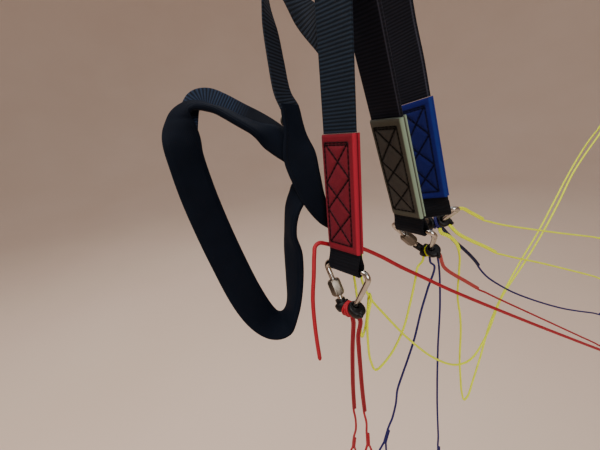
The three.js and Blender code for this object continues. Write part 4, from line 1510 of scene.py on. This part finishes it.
@dataclass
class BrakeHandle:
    """The padded hand loop on its strap, with the flap, the press stud and the tied brake line.

    The ends of the flap and the loop are thinner by a share, over a share of their length. A roll, a
    seam or a crease is its depth as a share, its distance from the edge or place, and its softness.
    """

    strap_width: float = 16.0
    strap_thick: float = 1.6
    flap_thick: float = 3.0
    hole: float = 2.1
    hole_at: float = 0.936
    loop_thick: float = 5.0
    backing_width: float = 13.0
    backing_thick: float = 1.6
    stud_at: float = 0.076
    stud_aside: float = 3.4
    stud_lift: float = 0.5
    ring_radius: float = 5.5
    ring_wire: float = 2.0
    line: float = 1.5
    line_end: float = 0.985
    melted: tuple[Pair, ...] = ((0.3, 0.55), (0.8, 0.85))
    tail_bend: tuple[Triple, Triple] = ((-18, -10, -452), (-12, -20, -500))
    flap_core: float = 0.86
    flap_end: Pair = (0.35, 0.02)
    flap_roll: Triple = (0.16, 1.3, 0.9)
    flap_seam: float = 2.6
    flap_stitch: Triple = (1.9, 0.5, 0.26)
    square: Pair = (0.55, 0.75)
    thinnest: float = 0.6
    loop_end: Pair = (0.45, 0.012)
    loop_seam: Triple = (0.16, 2.1, 0.7)
    creases: tuple[Triple, ...] = ((0.3, 0.012, 0.1), (0.345, 0.009, 0.14), (0.645, 0.012, 0.1),
                                   (0.69, 0.009, 0.14), (0.73, 0.012, 0.08))
    strap: BandRoute = BandRoute((
        ((4, 2.05, -338), (0.7, 0, 0.7)), ((-4, 2.05, -329.5), (0.7, 0, 0.7)),
        ((-12, 2.1, -320.5), (0.7, 0.05, 0.7)), ((-20, 2.6, -311), (0.5, 0.4, 0.7)),
        ((-29, 1, -298), (0, 0.85, 0.5)), ((-44, 0, -277), (-0.3, 0.85, 0.4)),
        ((-53, 0, -267), (-0.4, 0.8, 0.4)), ((-59, 1.6, -270), (-0.5, 0.8, 0.4)),
        ((-59, 2.5, -281), (-0.6, 0.8, 0.3)), ((-57.6, 2.6, -292), (-0.6, 0.8, 0.3)),
        ((-54.2, 1.1, -308), (-0.3, 0.93, 0.2)), ((-50, -0.8, -326), (-0.2, 0.95, 0.15)),
        ((-44.5, -3.1, -345.3), (-0.15, 0.97, 0.15)),
        ((-39.05, -2.4, -356.4), (0.02, 0.98, 0.1)),
    ))
    flap: BandRoute = BandRoute((
        ((-39.5, -2, -354.6), (0.02, 0.98, 0.1)), ((-34.4, -4.3, -372), (0.25, 0.94, 0.12)),
        ((-30, -6, -387), (0.53, 0.83, 0.18)), ((-25.5, -6, -402), (0.53, 0.83, 0.14)),
        ((-22, -3.5, -417), (0.49, 0.85, 0.2)), ((-19.3, 3, -430.5), (0.4, 0.85, 0.35)),
        ((-16.4, 12.2, -440.2), (0.45, 0.88, 0)), ((-12.7, 16.4, -447.5), (0.45, 0.88, -0.15)),
    ))
    flap_widths: tuple[float, ...] = (15, 16, 22, 20, 16, 12, 9, 7)
    loop: BandRoute = BandRoute((
        ((-34.1, -3, -389.5), (-0.19, -0.73, -0.65)), ((-43.1, -6.8, -381.6), (-0.04, -0.82, -0.57)),
        ((-50.7, -11.9, -373.6), (0.18, -0.89, -0.42)), ((-56.9, -19.1, -367.7), (0.5, -0.86, -0.11)),
        ((-61.6, -27.7, -361.7), (0.6, -0.8, -0.03)), ((-68.9, -35.7, -354.7), (0.66, -0.75, -0.02)),
        ((-74.2, -41.8, -351.6), (0.72, -0.69, -0.03)), ((-80.2, -47.2, -349.3), (0.78, -0.59, -0.21)),
        ((-83.9, -53, -350.1), (0.9, -0.27, -0.33)), ((-85.1, -57.7, -355.3), (0.93, 0.24, -0.27)),
        ((-83.4, -60.6, -363), (0.75, 0.66, -0.07)), ((-80.4, -61.9, -371.1), (0.4, 0.91, -0.07)),
        ((-78.5, -62.4, -381.1), (0.14, 0.99, -0.03)), ((-73.5, -61.4, -404.1), (0.2, 0.98, -0.01)),
        ((-67.5, -58.9, -428.1), (0.21, 0.98, 0.04)), ((-60.5, -55.4, -453.1), (0.23, 0.97, 0)),
        ((-52.5, -50.9, -479.1), (0.24, 0.97, -0.02)), ((-47.5, -44.4, -498.1), (-0.07, 0.98, 0.19)),
        ((-42.5, -36.9, -508.4), (-0.49, 0.77, 0.41)), ((-38, -27.9, -508.6), (-0.75, 0.58, 0.33)),
        ((-35.9, -21.8, -497.1), (-0.91, 0.41, 0.05)), ((-36.5, -17.4, -478.1), (-0.96, 0.19, -0.2)),
        ((-37.8, -14.4, -457.1), (-0.94, 0.14, -0.3)), ((-39.2, -13.8, -442.3), (-0.9, 0.37, -0.22)),
        ((-38.6, -11.9, -428.9), (-0.92, 0.35, -0.17)), ((-37, -8.4, -419.2), (-0.96, 0.01, -0.29)),
        ((-33.5, -4.1, -411.2), (-0.68, -0.59, -0.44)), ((-29.6, -1, -405.1), (-0.46, -0.8, -0.38)),
    ))
    loop_widths: tuple[float, ...] = (15, 19, 23, 24, 24, 24.1, 22.4, 20.9, 19.9, 20.9, 23.1, 24,
                                      24, 24, 24, 24, 24, 24, 24, 24, 24, 24, 24, 24, 24, 20, 16, 13)
    backing: BandRoute = BandRoute((
        ((-41, 2.1, -384.4), (-0.2, -0.73, -0.66)), ((-50.3, -0.8, -376), (-0.12, -0.67, -0.73)),
        ((-60.7, -4.1, -368), (-0.15, -0.58, -0.8)), ((-69.3, -9.2, -361.3), (-0.12, -0.56, -0.82)),
        ((-76.9, -16.8, -354.8), (-0.08, -0.52, -0.85)), ((-84.7, -25.5, -347.4), (0, -0.46, -0.89)),
        ((-90.9, -32.3, -343.1), (0.21, -0.25, -0.95)), ((-94.4, -39.5, -343.8), (0.49, 0.12, -0.86)),
        ((-92.4, -46.6, -350.4), (0.7, 0.61, -0.37)), ((-86.9, -51.8, -358.6), (0.68, 0.73, -0.1)),
        ((-84.5, -54.8, -365.3), (0.61, 0.78, -0.13)),
    ))

    def __post_init__(self) -> None:
        """Work out where the ring hangs and the brake line is tied."""
        self.ring_axis = Vector((0.45, 0.88, -0.15)).normalized()
        self.ring_centre = Vector((-12.5, 13, -449))
        top = Vector((-0.35, 0.32, 0.88))
        self.ring_top = (top - top.dot(self.ring_axis) * self.ring_axis).normalized()
        self.ring_side = self.ring_axis.cross(self.ring_top)
        self.knot_centre = self.ring_centre - self.ring_top * self.ring_radius
        self.knot_radius = self.ring_wire / 2 + CONTACT + self.line

    def knot_exit(self, side: int) -> Vector:
        """Return where the brake line leaves its knot, on one side or the other."""
        return self.knot_centre + self.ring_axis * side * (self.knot_radius + self.line + CONTACT)

    def brake_routes(self) -> tuple[Route, Route]:
        """Return the routes of the free tail and of the run that leads away."""
        tail = ((-15, 3.4, -451.4), (-17, -2, -448.6), (-18.2, -6, -447.2), (-19, -9.4, -448.8),
                (-18, -12, -454), (-16, -16, -467), (-15, -20, -485), (-12, -23, -507),
                (-8, -25, -530))
        away = ((-4, 21, -457), (4, 35, -467), (13, 49, -479), (23, 70, -495), (35, 92, -512),
                (62, 142, -548), (95, 200, -589), (134, 266, -635), (148, 289, -651))
        return (Route((tuple(self.knot_exit(-1)), *tail), Flow.CENTRIPETAL),
                Route((tuple(self.knot_exit(1)), *away), Flow.CENTRIPETAL))

    def build_lines(self) -> None:
        tail, away = self.brake_routes()
        stations = cord_stations(tail, even_shares(130))
        last = len(stations) - 1

        def tail_ring(i: int) -> Ring:
            """Return the tail's section, melted round at its cut end."""
            left = stations[last].run - stations[i].run
            melted = next((share for reach, share in self.melted if left < reach), 1.0)
            return round_ring(self.line * melted, 12)

        blend = (ROOT, "link_a", *self.tail_bend)
        made = Piece(RED_LINE, "line_red", nodes=("brake_line_tail",), blend=blend).draw(
            "brake_line_free_end", sweep(stations, tail_ring, girth=LINE_GIRTH))
        stations = cord_stations(away, even_shares(200, 0.0, self.line_end))
        Piece(RED_LINE, "line_red", nodes=("brake_line",)).draw(
            "brake_line_run", cord_skin(stations, self.line, 12))

    def build_knot(self) -> None:
        """Draw the brake line's turns round the ring."""
        bm = bmesh.new()
        for lift in (-0.5, 0.5):
            points = []
            for k in range(20):
                a = math.tau * k / 19
                spot = self.ring_axis * math.cos(a) + self.ring_top * math.sin(a)
                skew = self.ring_side * lift * self.line * (1.1 + 0.7 * math.cos(a))
                points.append(tuple(self.knot_centre + spot * self.knot_radius + skew))
            stations = cord_stations(Route(tuple(points)), even_shares(44))
            turn = cord_skin(stations, self.line * 0.92)
            mesh = bpy.data.meshes.new("turn")
            turn.to_mesh(mesh)
            turn.free()
            bm.from_mesh(mesh)
            bpy.data.meshes.remove(mesh)
        Piece(RED_LINE, "line_red", nodes=("brake_line_knot",)).draw("brake_line_turns", bm)

    def build_ring(self) -> None:
        """Spin the wire ring."""
        bm = bmesh.new()
        made = bmesh.ops.create_circle(bm, radius=self.ring_wire / 2 * MM, segments=16,
                                       matrix=Matrix.Translation((self.ring_radius * MM, 0, 0))
                                       @ Matrix.Rotation(math.pi / 2, 4, "X"))
        bmesh.ops.spin(bm, geom=[*made["verts"], *bm.edges], cent=(0, 0, 0), axis=(0, 0, 1),
                       angle=math.tau, steps=48, use_merge=True)
        bmesh.ops.recalc_face_normals(bm, faces=bm.faces)
        axes = Matrix((self.ring_side, self.ring_top, -self.ring_axis)).transposed().to_4x4()
        bmesh.ops.transform(bm, verts=bm.verts,
                            matrix=Matrix.Translation(self.ring_centre * MM) @ axes)
        Piece(LINK_STEEL, "stainless_steel", nodes=("brake_ring",)).draw("brake_small_ring", bm)

    def build_strap(self) -> None:
        """Draw the strap from the riser over its arch to the flap."""
        draw_band("brake_handle_strap", "brake_strap", STRAP_TAPE, self.strap.stations(180),
                  flat_ring(self.strap_width, self.strap_thick, bead=0.3))

    def build_backing(self) -> None:
        """Draw the tape that stands behind the hand loop's padding."""
        draw_band("brake_handle_tape", "brake_handle_backing", BACKING_TAPE,
                  self.backing.stations(150),
                  flat_ring(self.backing_width, self.backing_thick, bead=0.3))

    def punch(self, bm: Skin) -> None:
        """Punch the ring's round hole through the flap's tip."""
        s = self.flap.station(self.hole_at)

        def aside(point: Vector) -> Vector:
            """Return how far a point is from the hole's axis, in millimetres."""
            off = point / MM - s.point
            return off - off.dot(s.through) * s.through

        gone = [f for f in bm.faces if aside(f.calc_center_median()).length < self.hole]
        bmesh.ops.delete(bm, geom=gone, context="FACES")
        rim = [e for e in bm.edges if e.is_boundary]
        for v in {v for e in rim for v in e.verts}:
            off = aside(v.co)
            v.co += (off.normalized() * self.hole - off) * MM
        bmesh.ops.bridge_loops(bm, edges=rim)
        bmesh.ops.recalc_face_normals(bm, faces=bm.faces)

    def build_flap(self) -> None:
        """Draw the flap, with a rolled and stitched edge, and punch its tip."""
        widths = Route(tuple((w, 0.0, 0.0) for w in self.flap_widths))
        count = 170
        stations = self.flap.stations(count)

        def ring(i: int) -> Ring:
            """Return the flap's section at a station."""
            width = widths.at(i / count).x
            end = min(i, count - i) / count
            thinner, reach = self.flap_end
            thick = self.flap_thick * (1 - thinner * bell(end / reach))
            swell, inset, soft = self.flap_roll
            return [(x, y * (1 + swell * bell((abs(x) - width / 2 + inset) / soft)))
                    for x, y in flat_ring(width, thick * self.flap_core, across=16)]

        bm = sweep(stations, ring)
        self.punch(bm)
        made = Piece(HANDLE_CLOTH, "padded_fabric", nodes=("brake_flap",)).draw(
            "brake_handle_flap", bm)
        sewn = bmesh.new()
        for side in (-1, 1):
            for edge in (-1, 1):
                points = []
                for i in range(4, count - 24, 4):
                    s = stations[i]
                    x = edge * (widths.at(i / count).x / 2 - self.flap_seam)
                    out = s.through * side * self.flap_thick * (self.flap_core / 2)
                    points.append(s.point + s.across * x + out)
                middle = stations[count // 2]
                stitch_row(sewn, points, middle.through * side, *self.flap_stitch)
        Piece(BLACK_THREAD, "padded_fabric").draw("brake_flap_stitches", sewn)

    def loop_ring(self, share: float, width: float) -> Ring:
        """Return the hand loop's section: a crowned pad between two rolled edges.

        Args:
            share: How far along the loop, from 0 to 1.
            width: The loop's width there.

        Returns:
            The section's points.
        """
        thin = sum(deep * bell((share - where) / reach) for where, reach, deep in self.creases)
        thinner, reach = self.loop_end
        thin = min(thin + thinner * bell(min(share, 1 - share) / reach), self.thinnest)
        half, thick = width / 2, self.loop_thick / 2 * (1 - thin)
        deep, inset, soft = self.loop_seam
        made = []
        for k in range(44):
            a = math.tau * k / 44
            c, d = math.cos(a), math.sin(a)
            x = math.copysign(abs(c) ** self.square[0], c)
            groove = deep * bell((half - abs(x) * half - inset) / soft)
            y = math.copysign(abs(d) ** self.square[1], d) * (1 - groove)
            made.append((x * half, y * thick))
        return made

    def build_loop(self) -> None:
        """Draw the padded hand loop."""
        widths = Route(tuple((w, 0.0, 0.0) for w in self.loop_widths))
        count = 300
        stations = self.loop.stations(count)
        rings = [self.loop_ring(i / count, widths.at(i / count).x) for i in range(count + 1)]
        made = Piece(HANDLE_CLOTH, "padded_fabric", nodes=("brake_handle",)).draw(
            "brake_handle_loop", sweep(stations, lambda i: rings[i]))

    def build_stud(self) -> None:
        """Spin the press stud behind the flap: a dark rolled rim under a bright domed cap."""
        s = self.flap.station(self.stud_at)
        behind = -s.through
        base = s.point + behind * (self.flap_thick / 2 + self.stud_lift) - s.across * self.stud_aside
        axes = Matrix((s.across, behind.cross(s.across), behind)).transposed().to_4x4()
        where = Matrix.Translation(base * MM) @ axes
        rim = [(0.0, 0.0), (3.85, 0.0), (4.0, 0.3), (4.0, 0.9), (3.8, 1.25), (3.3, 1.3), (0.0, 1.3)]
        cap = [(0.0, 1.4), (3.2, 1.4), (3.45, 1.55), (3.5, 1.9), (3.35, 2.4), (2.9, 2.75),
               (2.0, 2.92), (0.0, 3.0)]
        for name, finish, profile in (("rim", SLEEVE_STEEL, rim), ("cap", STUD_STEEL, cap)):
            bm = spun([(radius * MM, height * MM) for radius, height in profile], 32)
            bmesh.ops.transform(bm, verts=bm.verts, matrix=where)
            Piece(finish, "stainless_steel", nodes=("brake_press_stud",)).draw(
                f"brake_stud_{name}", bm, 40)

    def build(self) -> None:
        """Build the handle's pieces."""
        self.build_strap()
        self.build_flap()
        self.build_loop()
        self.build_backing()
        self.build_stud()
        self.build_ring()
        self.build_knot()


# Hang-in loop


@dataclass
class HangInLoop:
    """The loop that the carabiner goes through, sewn to the three stacked risers."""

    thick: float = 2.2
    web_thick: float = 1.8
    width: float = 25.0
    pitch: float = 2.1
    stack_top: float = -62.0
    junction: float = 64.0
    reach: float = 13.0

    def faces(self) -> Pair:
        """Return the loop's middles in front of the stack and behind it."""
        front = -(self.pitch + (self.thick - self.web_thick) / 2)
        return front, 2 * self.pitch - front

    def build(self) -> None:
        """Draw the loop, and sew it down on both faces."""
        front, back = self.faces()
        middle = (front + back) / 2
        foot = self.stack_top - self.junction
        sewn = (foot + self.stack_top) / 2
        profile = [
            (front, foot), (front, sewn), (front, self.stack_top), (middle - 7, -44),
            (middle - self.reach, -22), (middle - 9.5, -6), (middle, self.thick / 2),
            (middle + 9.5, -6), (middle + self.reach, -22), (middle + 7, -44),
            (back, self.stack_top), (back, sewn), (back, foot),
        ]
        route = BandRoute(tuple(((0.0, y, z), ALONG_X) for y, z in profile))
        draw_band("hang_in_band", "hang_in_loop", WEBBING, route.stations(220),
                  flat_ring(self.width, self.thick, bead=0.35))
        stitches = bmesh.new()
        half = self.width / 2 - 3.2
        low, high = foot + 4, self.stack_top - 3
        third = (high - low) / 3
        for y, side in ((front, -1), (back, 1)):
            lift = Vector((0, side, 0))
            seams = [[(-half, low), (half, low), (half, high), (-half, high), (-half, low)]]
            for left in (-half, half):
                seams += [[(left, low + third * k), (-left, low + third * (k + 1))]
                          for k in range(3)]
            for line in seams:
                points = [Vector((x, y + side * (self.thick / 2 - 0.05), z)) for x, z in line]
                stitch_row(stitches, points, lift)
        Piece(BLACK_THREAD, "webbing_polyester").draw("junction_stitches", stitches)


def main() -> None:
    """Load the frame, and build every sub-assembly round it."""
    logging.basicConfig(level=logging.INFO, format="%(message)s")
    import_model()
    studio = Studio()
    studio.place_camera()
    bodies = risers()
    links = {key: riser.link for key, riser in bodies.items()}
    handle = BrakeHandle()
    for line in lines():
        line.build(links)
    handle.build_lines()
    HangInLoop().build()
    for riser in bodies.values():
        riser.build()
    handle.build()
    studio.lay_floor()
    studio.hang_lights()
    bpy.context.view_layer.update()


if __name__ == "__main__":
    main()
